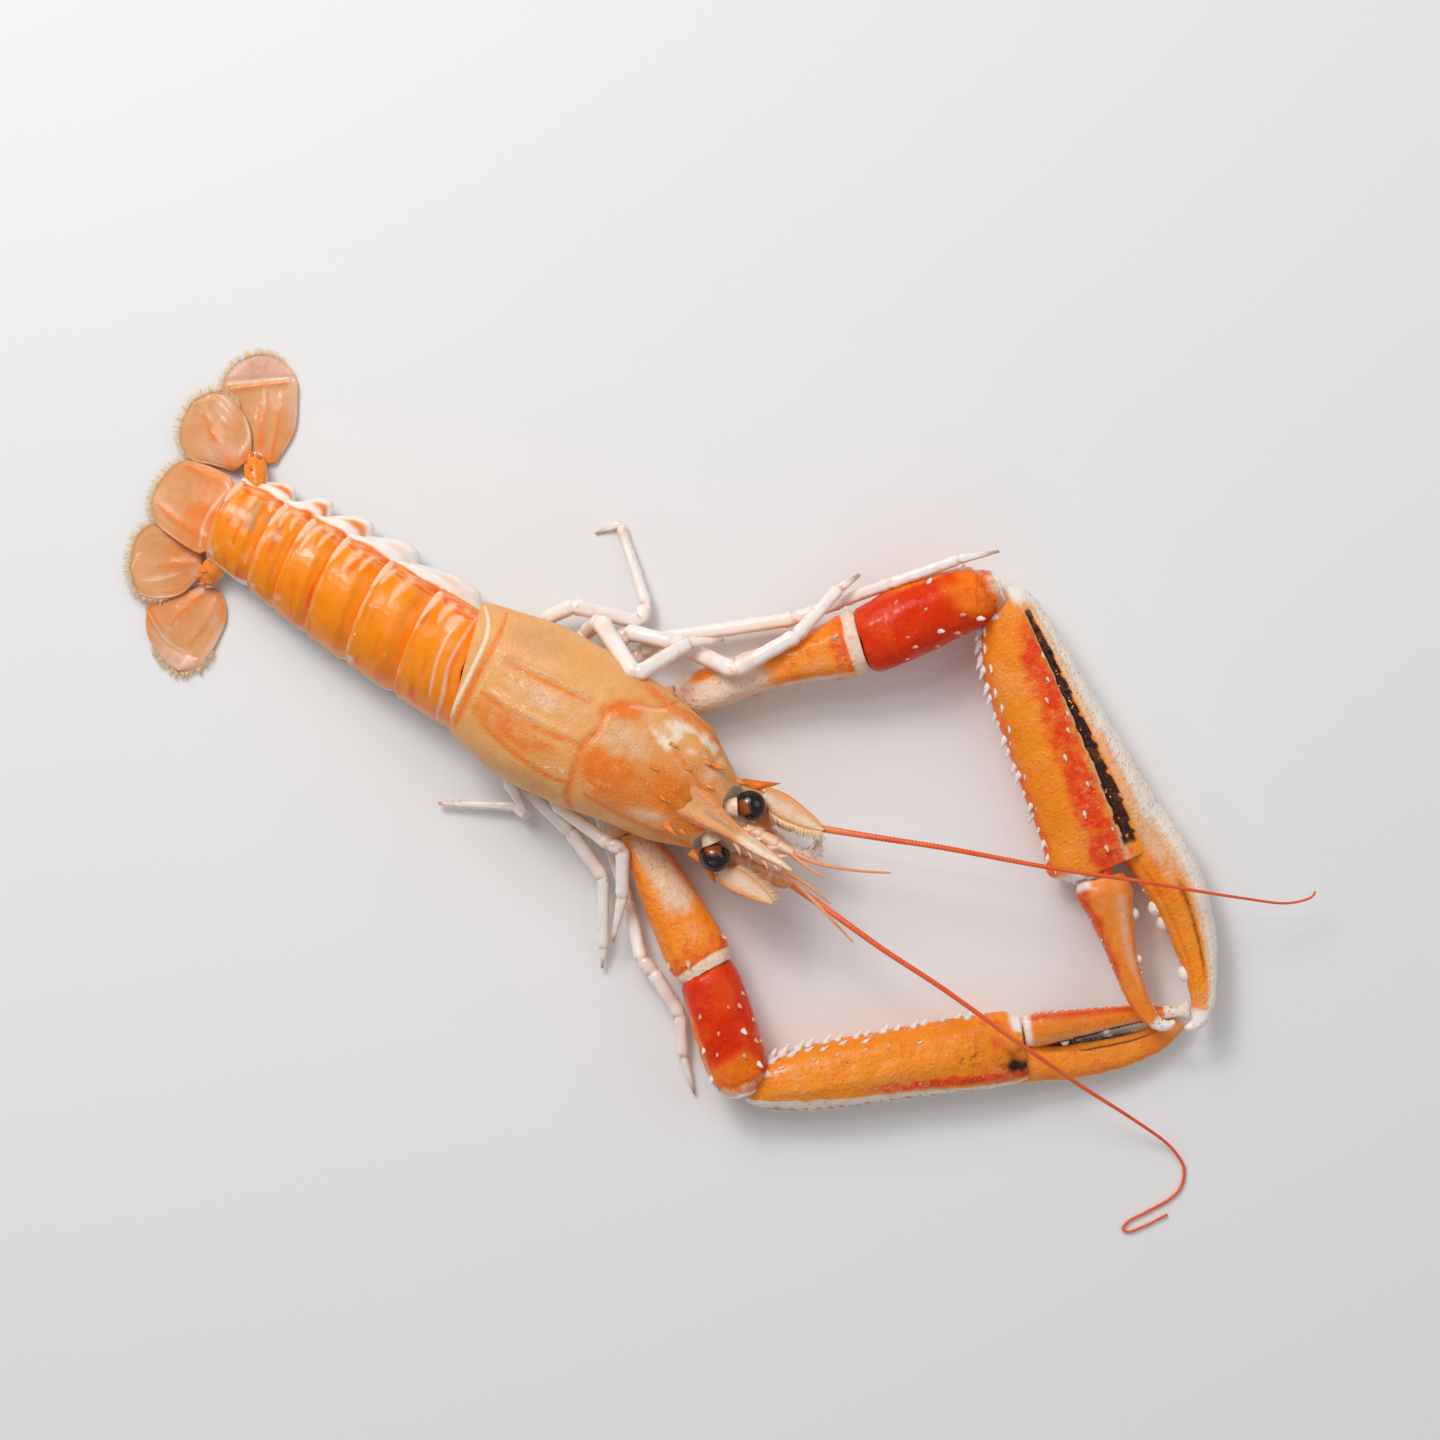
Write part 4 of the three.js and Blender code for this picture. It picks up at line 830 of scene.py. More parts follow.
def add_rostrum(piece):
    course = Course((20, 1.6, 33.6), (38, 1.2, 31.8), (52, 0.5, 31.8), (ROSTRUM_TIP, 0, 34))
    wide = along((0, 7), (0.38, 4.6), (0.55, 2.7), (0.85, 1.6), (1, 0.4))
    high = along((0, 2.4), (0.5, 2.3), (0.85, 1.5), (1, 0.4))
    sweep = Sweep(course, wide, high)

    def relief(t, turn, point, facing):
        keel = 0.7 * hump(abs(turn), 0.66, 0.26) - 0.6 * hump(turn, 0, 0.28)
        return keel * (1 - smooth(t, 0.7, 0.95)) * smooth(t, 0.15, 0.35) + 0.1 * uneven(point, 1.6)

    def paint(t, turn, point, facing):
        front = smooth(t, 0.56, 0.7)
        ridge = hump(abs(turn), 0.66, 0.3) * (1 - 0.5 * front)
        edge = 0.6 * hump(abs(turn), 1.5, 0.3)
        between = 0.6 * hump(turn, 0, 0.2) * smooth(t, 0.3, 0.45) * (1 - front)
        return max(ridge, 0.3 * (1 - front), edge), 0.4, 0.75 * front * hump(turn, 0, 0.8), between

    piece.wrap(steps(26), steps(48), sweep.place, paint, relief)
    for (x, y, z), middle, length, radius, marks in ROSTRUM_TEETH:
        for side in (-1, 1):
            piece.spike((x, y * side + middle, z), (1, side * 0.8, 0.2), length, radius, marks, sides=10)


def add_shell_grains(piece, rng):
    radius = millimetres("granule")
    for line, pitch, size in GRAIN_ROWS:
        course = flat_course(line)
        count = round(course.length / pitch)
        for i in range(count + 1):
            place, _ = course.at((i + 0.3 * rng.uniform(-1, 1)) / count)
            found = piece.onto(place.x, place.y + rng.uniform(-0.4, 0.4))
            if found:
                foot, facing = found
                marks = (0.25, 0.6, rng.uniform(0.0, 0.4), 0)
                piece.bead(foot - facing * 0.15, radius * size * rng.uniform(0.6, 1.05), facing, 0.7, marks)
    for x, y, long, wide, count in GRAIN_FIELDS:
        for _ in range(count):
            found = piece.onto(rng.gauss(x, long * 0.6), rng.gauss(y, wide * 0.6))
            if found and found[0].x > -34 and found[1].z > 0.2:
                foot, facing = found
                marks = (0.25, rng.uniform(0.3, 0.9), rng.uniform(0.0, 0.25), 0)
                piece.bead(foot - facing * 0.1, radius * rng.uniform(0.35, 0.72), facing, 0.6, marks, 1)


def add_spines(piece):
    hot = (0.6, 0, 0.1, 0)
    for x, y, length, radius in BACK_SPINES:
        foot, facing = piece.onto(x, y)
        piece.spike(foot, facing * 0.5 + AHEAD, length, radius * 0.8, hot, sides=12, sink=0.3)
    for foot, aim in CHEEK_SPINES:
        piece.spike(foot, aim, 5, 1.4, hot, sides=12)


def add_carapace():
    rng = random.Random(11)
    piece = Piece()
    collar = Strokes((0.75, REAR_EDGE))
    # The second, broader pale line, behind the neck groove on the left, is a painted highlight on the ridge
    # there
    pale_lines = Strokes((0.45, REAR_LINE), (1.2, [(6.4, 14.7), (11, 16.8), (15.5, 18.9)]))
    keels = Strokes((0.8, LEFT_KEEL), (0.8, RIGHT_KEEL))
    ridges = Strokes((1.2, ROSTRUM_RIDGE_LEFT), (1.2, ROSTRUM_RIDGE_RIGHT))
    grooves = Strokes((1.1, NECK_GROOVE))
    stripe = Strokes((0.8, REAR_STRIPE))
    warm_lines = Strokes(
        (0.9, REAR_STRIPE, 1.7), (0.8, UNDER_LEFT_KEEL), (1.3, UNDER_RIGHT_KEEL), (1.1, SIDE_LINE),
        (0.7, NECK_GROOVE, 2.2), (1.3, ROSTRUM_RIDGE_LEFT), (1.3, ROSTRUM_RIDGE_RIGHT),
        (0.9, CHEEK_LINE_LEFT), (1.1, CHEEK_LINE_RIGHT), (1.0, [(22, 11), (28, 9), (35, 6)]),
    )
    pink = patches(
        (10, 6.5, 9, 5.5, 10), (-16, 4, 13, 3.4, 2), (27, -8, 8, 2.6, 12), (19, 14, 8, 3, -8),
        (36, 11, 6, 4, -30),
    )
    pale = patches((23, 16, 7.5, 3.8, -12), (31, 16.4, 6, 3, -20), (19, 12, 5, 2.6, -10))
    grey = patches(
        (-24, 16.4, 11, 5.5, 14), (-12, -17.4, 20, 3.4, 6), (30, -12, 6, 3, 8), (39, 11, 5, 3, -30)
    )
    orange = patches(
        (10, -4, 12, 6.5, 0), (36, 0, 16, 5.5, 0), (4, 12, 8, 3.4, 40), (-16, -7.5, 16, 4.6, -2),
        (18, 20, 12, 2, -10),
    )

    def orbit(point):
        return max(1 - smooth(Vector(from_orbit(point, centre)).length, 0.98, 1.15) for centre in ORBITS)

    def relief(t, turn, point, facing):
        if facing.z < -0.5:
            return 0.0
        top = smooth(facing.z, 0.1, 0.5)
        rise = 0.4 * keels.at(point) + 0.35 * ridges.at(point) - 0.4 * grooves.at(point)
        rise += 0.5 * collar.at(point) - 0.3 * stripe.at(point)
        rim = 0.55 * hump(point.z, CARAPACE_HEM + 2.2, 0.9) - 0.4 * hump(point.z, CARAPACE_HEM + 4.4, 1.1)
        slow = millimetres("unevenness") * (uneven(point, 9) + 0.5 * uneven(point, 3.4))
        return top * rise + (1 - top) * rim + slow + 0.05 * uneven(point, 1.1)

    def paint(t, turn, point, facing):
        top = smooth(facing.z, 0.05, 0.35)
        blot = uneven(point, 3.2)
        front = smooth(point.x, 0, 18) * (1 - smooth(abs(point.y - 1), 9, 19))
        field = orange(point) * (0.62 + 0.34 * uneven(point, 5)) + 0.3 * front
        field += 0.16 * uneven(point, 8) + 0.1
        warm = max(0.75 * warm_lines.at(point), field, 0.2 * (1 - top))
        broken = 0.2 + 0.62 * smooth(blot, -0.45, 0.3)
        light = max(0.8 * collar.at(point), pale_lines.at(point) * 0.4, pale(point) * broken)
        # In the eyes' hollows the pale is the tissue's own cream, made nearly white as painted light against
        # the shade of the hollows
        light = max(light, hump(point.z, CARAPACE_HEM + 1, 1.4), 0.9 * orbit(point))
        dusk = 0.4 * grey(point)
        return warm * lerp(0.6, 1, top), pink(point) * (0.55 + 0.45 * blot) * top, light, dusk

    piece.wrap(steps(118), steps(84), carapace_place, paint, relief)
    for vert in piece.skin.verts:
        vert.co = hollowed(vert.co)
    add_rostrum(piece)
    add_shell_grains(piece, rng)
    add_spines(piece)
    piece.finish("carapace", "shell", skin_material("lobster shell"))


class LOBSTER_OT_carapace(bpy.types.Operator):
    """Model the carapace with its rostrum, keels, grooves, grains and spines"""

    bl_idname = "lobster.carapace"
    bl_label = "Carapace"

    def execute(self, context):
        add_carapace()
        return {"FINISHED"}


# Thorax, the belly side under the carapace

BREAST_PLATE = 9  # the distance between two grooves of its plates


def add_thorax():
    piece = Piece()
    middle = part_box("thorax")[1].z / MM - 4.6
    wide = along((0, 8), (0.06, 11.4), (0.4, 12.2), (0.7, 11), (0.9, 9), (1, 6))
    high = along((0, 3), (0.06, 4.6), (0.9, 4.6), (1, 3.4))
    low = along((0, 4), (0.06, 5.6), (0.9, 5.6), (1, 4.4))
    sweep = Sweep(Course((-35, 0.4, middle), (40, 1.4, middle)), wide, high, bottom=low, square=0.6)

    def place(t, turn, reach):
        point = sweep.place(t, turn, reach)
        return Vector((point.x, point.y, max(point.z, 0.05)))

    def paint(t, turn, point, facing):
        plates = waves(point.x, BREAST_PLATE)
        return 0.5 * plates**6, 0.5 * plates, 0.3, 0

    def relief(t, turn, point, facing):
        if point.z < 0.3:
            return 0.0
        return -0.5 * waves(point.x, BREAST_PLATE) ** 8

    piece.wrap(72, 110, place, paint, relief)
    piece.finish("thorax", "pale", skin_material("pale skin"))


class LOBSTER_OT_thorax(bpy.types.Operator):
    """Model the belly side of the thorax, flat where it lies"""

    bl_idname = "lobster.thorax"
    bl_label = "Thorax"

    def execute(self, context):
        add_thorax()
        return {"FINISHED"}


# Head

EYES = {
    "left": {"centre": (48.3, 8.9, 26), "stalk": ((42.4, 4.6, 26.6), (45.4, 6.6, 26.4))},
    "right": {"centre": (47.3, -7.9, 26), "stalk": ((42, -3.2, 26.4), (44.8, -5.2, 26.2))},
}
EYE_DENT = 0.12


def add_eye(side, centre):
    low, high = (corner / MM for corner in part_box(f"eye_{side}"))
    radii = (high - low) / 2
    inner = -OUTER[side]
    inward, clear = Vector((-0.6, inner, 0)).normalized(), Vector((-0.4, 0.42 * inner, 0.82)).normalized()
    piece = Piece()
    bmesh.ops.create_uvsphere(piece.skin, u_segments=56, v_segments=36, radius=1)
    for vert in piece.skin.verts:
        dent = 1 - EYE_DENT * smooth(vert.co.normalized().dot(inward), 0.3, 1)
        vert[piece.masks[0]] = smooth(vert.co.normalized().dot(clear), 0.78, 0.93)
        vert.co = centre + Vector([vert.co[i] * radii[i] * dent for i in range(3)])
    piece.finish(f"eye_{side}", "eye", eye_material())


def add_stalk(side, spec):
    piece = Piece()
    girth = along((0, 1.4), (0.3, 2.1), (0.75, 2.7), (1, 2.9))
    sweep = round_limb(Course(*spec["stalk"]), girth)

    def paint(t, turn, point, facing):
        warm = 0.2 * smooth(uneven(point, 1.6), 0, 0.4)
        return warm, 0.4, 0.3 * smooth(t, 0.3, 0.9), 0.3 + 0.3 * uneven(point, 2)

    piece.wrap(36, 16, sweep.place, paint)
    piece.finish(f"eyestalk_{side}", "pale", skin_material("pale skin"))


def add_face():
    piece = Piece()
    wide = along((0, 8), (0.5, 8.4), (0.9, 7), (1, 5.4))
    high = along((0, 6.4), (0.5, 6.6), (1, 4))
    sweep = Sweep(Course((38, 1.4, 18), (52, 1.6, 18.4)), wide, high)

    def paint(t, turn, point, facing):
        return smooth(uneven(point, 4), 0.1, 0.6) * 0.4, 0.4, 0, 0.25

    def relief(t, turn, point, facing):
        return 0.35 * uneven(point, 2.6)

    piece.wrap(60, 34, sweep.place, paint, relief)
    piece.finish("face", "pale", skin_material("pale skin"))


class LOBSTER_OT_head(bpy.types.Operator):
    """Model the face, the eyes and their stalks"""

    bl_idname = "lobster.head"
    bl_label = "Face and eyes"

    def execute(self, context):
        add_face()
        for side, spec in EYES.items():
            add_eye(side, Vector(spec["centre"]))
            add_stalk(side, spec)
        return {"FINISHED"}


# Feelers

ANTENNULES = {
    "left": {
        "path": [(50.5, 3.6, 23.4), (57, 3.7, 24.4), (65, 4.1, 24.6)],
        "whips": [
            [(64, 4.1, 24.6), (72, 5.2, 25.4), (82, 9, 24), (90.6, 13.4, 20.5)],
            [(64, 3.6, 25), (70, 3, 26), (76, 2.8, 26.2)],
        ],
    },
    "right": {
        "path": [(50.5, -1.2, 23.4), (57, -1.6, 24.4), (64.6, -1.4, 24.8)],
        "whips": [
            [(63.6, -1.4, 24.8), (72, -1.2, 26), (81, -2.3, 25)],
            [(63.6, -1.8, 24.6), (71, -2.8, 26.6), (82, -5.4, 27.4), (91.5, -8, 25.4)],
        ],
    },
}
ANTENNAE = {
    "left": {
        "base": [(43, 10.4, 17), (50.5, 9.8, 17.2), (57, 10.8, 18.2), (62, 12, 19.6), (67.4, 13.5, 21.6)],
        "tooth": ((45.6, 13.4, 18.4), (6.4, 4.8, 0.8)),
        "whip": [
            (67.9, 13.7, 21.8), (83.2, 20.1, 26), (97.9, 26.4, 28), (126, 37.3, 29), (148.9, 47, 27),
            (175.6, 57.8, 18.5), (188.5, 63.8, 13), (193.2, 68.7, 11), (193.2, 70.4, 10.8),
        ],
        "scale": {"from": (49.8, 14.2, 23), "way": (19, -1, 1), "left": 2.6, "right": 4},
    },
    "right": {
        "base": [(43, -8.2, 17), (51, -7, 17), (56, -6.2, 17.8), (61.6, -4.6, 19), (68.8, -3.6, 20.2)],
        "tooth": ((46, -10.4, 18.4), (5.4, -3.8, 0.8)),
        "whip": [
            (69.4, -3.6, 20.3), (82.3, -4.2, 24.6), (98.8, -5.3, 27.6), (117.8, -5.8, 28), (143.6, -7.6, 25),
            (165, -8.9, 17), (183.6, -9.4, 8.6), (195.1, -10.2, 3), (199.5, -11.3, 1.6), (203.4, -13.3, 0.9),
            (205.2, -15.9, 0.8), (206, -19.4, 0.8), (205, -23.3, 0.8), (203, -27, 0.8), (200.6, -31, 0.8),
            (198.6, -34.5, 0.8), (198.3, -37, 0.8), (200, -36.9, 0.8), (202.9, -33.4, 0.8),
            (206.8, -27.1, 0.8),
        ],
        "scale": {"from": (50.4, -11.4, 23), "way": (17, 3, 1), "left": 3.9, "right": 2.3},
    },
}
WHIP_RADIUS = 0.9


def ringed(course, girth, pitch, depth):
    """A thin feeler whose thickness rises and falls at every ring."""
    return round_limb(course, lambda t: girth(t) * (1 - depth * waves(t * course.length, pitch) ** 3))


def add_antennule(side, spec):
    piece = Piece()
    girth = along(
        (0, 1.5), (0.28, 2.0), (0.34, 1.45), (0.4, 1.7), (0.62, 1.75), (0.68, 1.2), (0.74, 1.4), (1, 1.1)
    )
    stem = round_limb(Course(*spec["path"]), girth)

    def stem_paint(t, turn, point, facing):
        joint = max(hump(t, 0.34, 0.05), hump(t, 0.68, 0.05))
        return 0.45 * joint, 0.9, 0.3 + 0.4 * hump(turn, 0, 0.6), 0

    def whip_paint(t, turn, point, facing):
        return 0, 0.8 + 0.15 * sin(90 * t), 0.2, 0

    piece.wrap(24, 60, stem.place, stem_paint)
    for points in spec["whips"]:
        course = Course(*points)
        whip = ringed(course, along((0, 0.7), (1, 0.32)), 0.8, 0.25)
        piece.wrap(8, round(course.length / 0.27), whip.place, whip_paint)
    piece.finish(f"antennule_{side}", "whip", skin_material("feeler"))


def add_whip(side, points):
    piece = Piece()
    course = Course(*points)
    pitch = millimetres("feeler_ring")
    girth = along((0, WHIP_RADIUS * 1.2), (0.1, WHIP_RADIUS), (0.6, WHIP_RADIUS * 0.62), (1, 0.34))

    def paint(t, turn, point, facing):
        warm = 0.4 * smooth(t, 0.0, 0.08) * smooth(uneven(point, 14), -0.1, 0.5)
        return warm, max(0.35 * waves(t * course.length, pitch) ** 3, 0.5 * (1 - smooth(t, 0, 0.2))), 0, 0

    whip = ringed(course, girth, pitch, 0.12)
    piece.wrap(10, round(course.length / pitch * 4), whip.place, paint)
    piece.finish(f"antenna_{side}", "whip", skin_material("feeler"))


def add_feeler_base(side, spec):
    piece = Piece()
    girth = along(
        (0, 4), (0.4, 4.2), (0.5, 3.9), (0.54, 2.7), (0.6, 3.2), (0.72, 3.1), (0.78, 1.9), (0.84, 2.3),
        (0.95, 2), (1, 1.4),
    )
    stem = round_limb(Course(*spec["base"]), girth)

    def paint(t, turn, point, facing):
        joint = max(hump(t, 0.54, 0.03), hump(t, 0.78, 0.03))
        edge = hump(abs(turn), 1.3, 0.4)
        # The pale stripe along the upper side is a painted highlight; the pale at the two joints is their own
        return max(0.8 * edge, 0.35), 0.3, max(0.8 * joint, 0.5 * hump(turn, 0.3, 0.35)), 0

    def relief(t, turn, point, facing):
        return 0.25 * uneven(point, 2.4)

    piece.wrap(48, 52, stem.place, paint, relief)
    foot, aim = (Vector(v) for v in spec["tooth"])
    piece.spike(foot, aim, aim.length * 1.25, 2.3, (1, 0, 0, 0), sides=20, sink=0.2, tip=0.05)
    # A thin pale cone inside the orange tooth shows along it as a painted highlight
    piece.spike(foot + aim * 0.3, aim, aim.length * 0.98, 0.9, (0, 0, 0.9, 0), sides=10, sink=0.2, tip=0.05)
    piece.finish(f"antenna_base_{side}", "shell", skin_material("lobster shell"))


def add_scale(side, spec):
    rng = random.Random(5)
    piece = Piece()
    shape = along((0, 0.6), (0.28, 1), (0.66, 0.76), (0.9, 0.36), (1, 0.08))
    thick = along((0, 1), (0.8, 0.7), (1, 0.3))
    outer = OUTER[side]
    course = Course(*joints(spec["from"], [spec["way"]]))
    sweep = Sweep(course, lambda t: shape(t) * spec["left"], thick, right=lambda t: shape(t) * spec["right"])

    def paint(t, turn, point, facing):
        rim = smooth(turn * outer, 0.75, 1.1) * smooth(1.9 - turn * outer, 0, 0.3)
        inner_rim = 0.6 * hump(turn * outer, -1.45, 0.2)
        warm = max(0.9 * rim, inner_rim, 0.5 * hump(t, 0, 0.3), 0.3 * smooth(uneven(point, 4), 0, 0.5))
        # The pale band along the upper face, inside the orange rim, is a painted long soft highlight
        return warm, 0.3, 0.6 * (1 - rim) * hump(turn * outer, -0.3, 0.9), 0.15 * hump(t, 0.2, 0.2)

    def relief(t, turn, point, facing):
        return 0.3 * hump(turn * outer, 1.1, 0.3) - 0.2 * hump(turn, 0, 0.3)

    piece.wrap(40, 46, sweep.place, paint, relief)
    for i in range(46):
        t = lerp(0.18, 0.97, i / 45)
        root = sweep.place(t, -outer * radians(90), 0.97)
        aim = Vector((0.75, -outer * (1.0 - 0.4 * t) + rng.uniform(-0.1, 0.1), rng.uniform(-0.25, 0.1)))
        piece.hair(root, aim, millimetres("fringe") * rng.uniform(0.8, 1.15), millimetres("bristle") * 3.2)
    piece.finish(f"antenna_scale_{side}", "shell", skin_material("lobster shell"), bristle_material())


class LOBSTER_OT_feelers(bpy.types.Operator):
    """Model the small forked feelers and the long ringed ones with their bases and scales"""

    bl_idname = "lobster.feelers"
    bl_label = "Feelers"

    def execute(self, context):
        for side in ("left", "right"):
            add_antennule(side, ANTENNULES[side])
            spec = ANTENNAE[side]
            add_whip(side, spec["whip"])
            add_feeler_base(side, spec)
            add_scale(side, spec["scale"])
        return {"FINISHED"}


# Mouth legs

MAXILLIPEDS = {
    "left": [
        (27, 6.5, 5), (38, 8, 5.5), (50, 6.4, 8), (60, 4.6, 12), (67.5, 5, 14), (70.6, 7.6, 14.6),
        (69.4, 10.8, 14.8),
    ],
    "right": [(27, -4, 5), (38, -5.4, 5.5), (50, -4.6, 8), (60, -3.2, 11), (66, -2.6, 12)],
}
MOUTH_HAIRS = 170


class LOBSTER_OT_mouth_legs(bpy.types.Operator):
    """Model the two hairy mouth legs"""

    bl_idname = "lobster.mouth_legs"
    bl_label = "Mouth legs"

    def execute(self, context):
        for side, points in MAXILLIPEDS.items():
            rng = random.Random(7)
            piece = Piece()
            course = Course(*points)
            girth = along((0, 2.2), (0.4, 2.6), (0.6, 2.2), (0.64, 1.9), (0.7, 2.1), (0.84, 1.7), (1, 0.8))
            sweep = Sweep(course, girth, girth)

            def paint(t, turn, point, facing):
                return 0.8 * hump(t, 0.64, 0.03), 0.4, smooth(t, 0.6, 0.8), 0

            piece.wrap(28, round(course.length / 0.6), sweep.place, paint)
            for _ in range(MOUTH_HAIRS):
                t, turn = rng.uniform(0.62, 0.99), rng.uniform(-pi, pi)
                root = sweep.place(t, turn, 0.95)
                middle, ahead = course.at(t)
                aim = (root - middle).normalized() + ahead * 1.1
                piece.hair(root, aim, rng.uniform(1.2, 2.4), millimetres("bristle"))
            piece.finish(f"maxilliped_{side}", "leg", skin_material("leg shell"), bristle_material())
        return {"FINISHED"}


# Tail rings

ABDOMEN_JOINTS = [-38, -54.5, -70.4, -84, -95, -103.8, -118]
ABDOMEN_LAP = 3.5
ABDOMEN_SKEW = 0.13
RING_BOW = 2.4
FLAPS = [0, 5.2, 6.1, 6.4, 6.6, 4.6]
FLAP_LEADS = [0, 16.5, 10, 8.6, 5.4, 0.6]
FLAP_RISE = 0.06
ARCH = 2 / 3
ROUND = 45  # half the way round a ring, in millimetres

ring_left = along((-118, 12.2), (-103, 13.6), (-84, 15), (-60, 15.6), (-38, 15.4))
ring_right = along((-118, 12.6), (-103, 13.9), (-84, 16), (-60, 17.2), (-38, 17.4))
ring_top = along((-118, 15.6), (-103, 19.4), (-84, 23), (-60, 26.4), (-38, 28))
ring_hem = along((-118, 3.2), (-84, 4.2), (-38, 5))

# Pale wedges on each ring's left shoulder, pointing to its middle: how far back on the ring each starts and
# ends, from and to how far round it, and its half widths there, in millimetres but for the first two
WEDGES = [
    [(0.66, 0.7, 19, 8, 1.7, 0.5), (0.42, 0.5, 15.5, 7.5, 1.6, 1.7)],
    [(0.58, 0.66, 18, 4, 1.9, 0.5), (0.86, 0.9, 18, 9, 1.2, 0.5)],
    [(0.44, 0.5, 18.4, 9, 1.0, 0.4), (0.66, 0.74, 17, 5, 1.8, 0.4)],
    [(0.5, 0.56, 19, 8, 0.9, 0.4), (0.76, 0.84, 19, 4, 1.4, 0.4)],
    [(0.54, 0.5, 17, 9, 1.0, 0.4), (0.8, 0.76, 18, 8, 1.1, 0.4)],
    [(0.36, 0.3, 19, 13, 1.2, 0.6), (0.62, 0.6, 16, 8, 1.3, 0.5)],
]


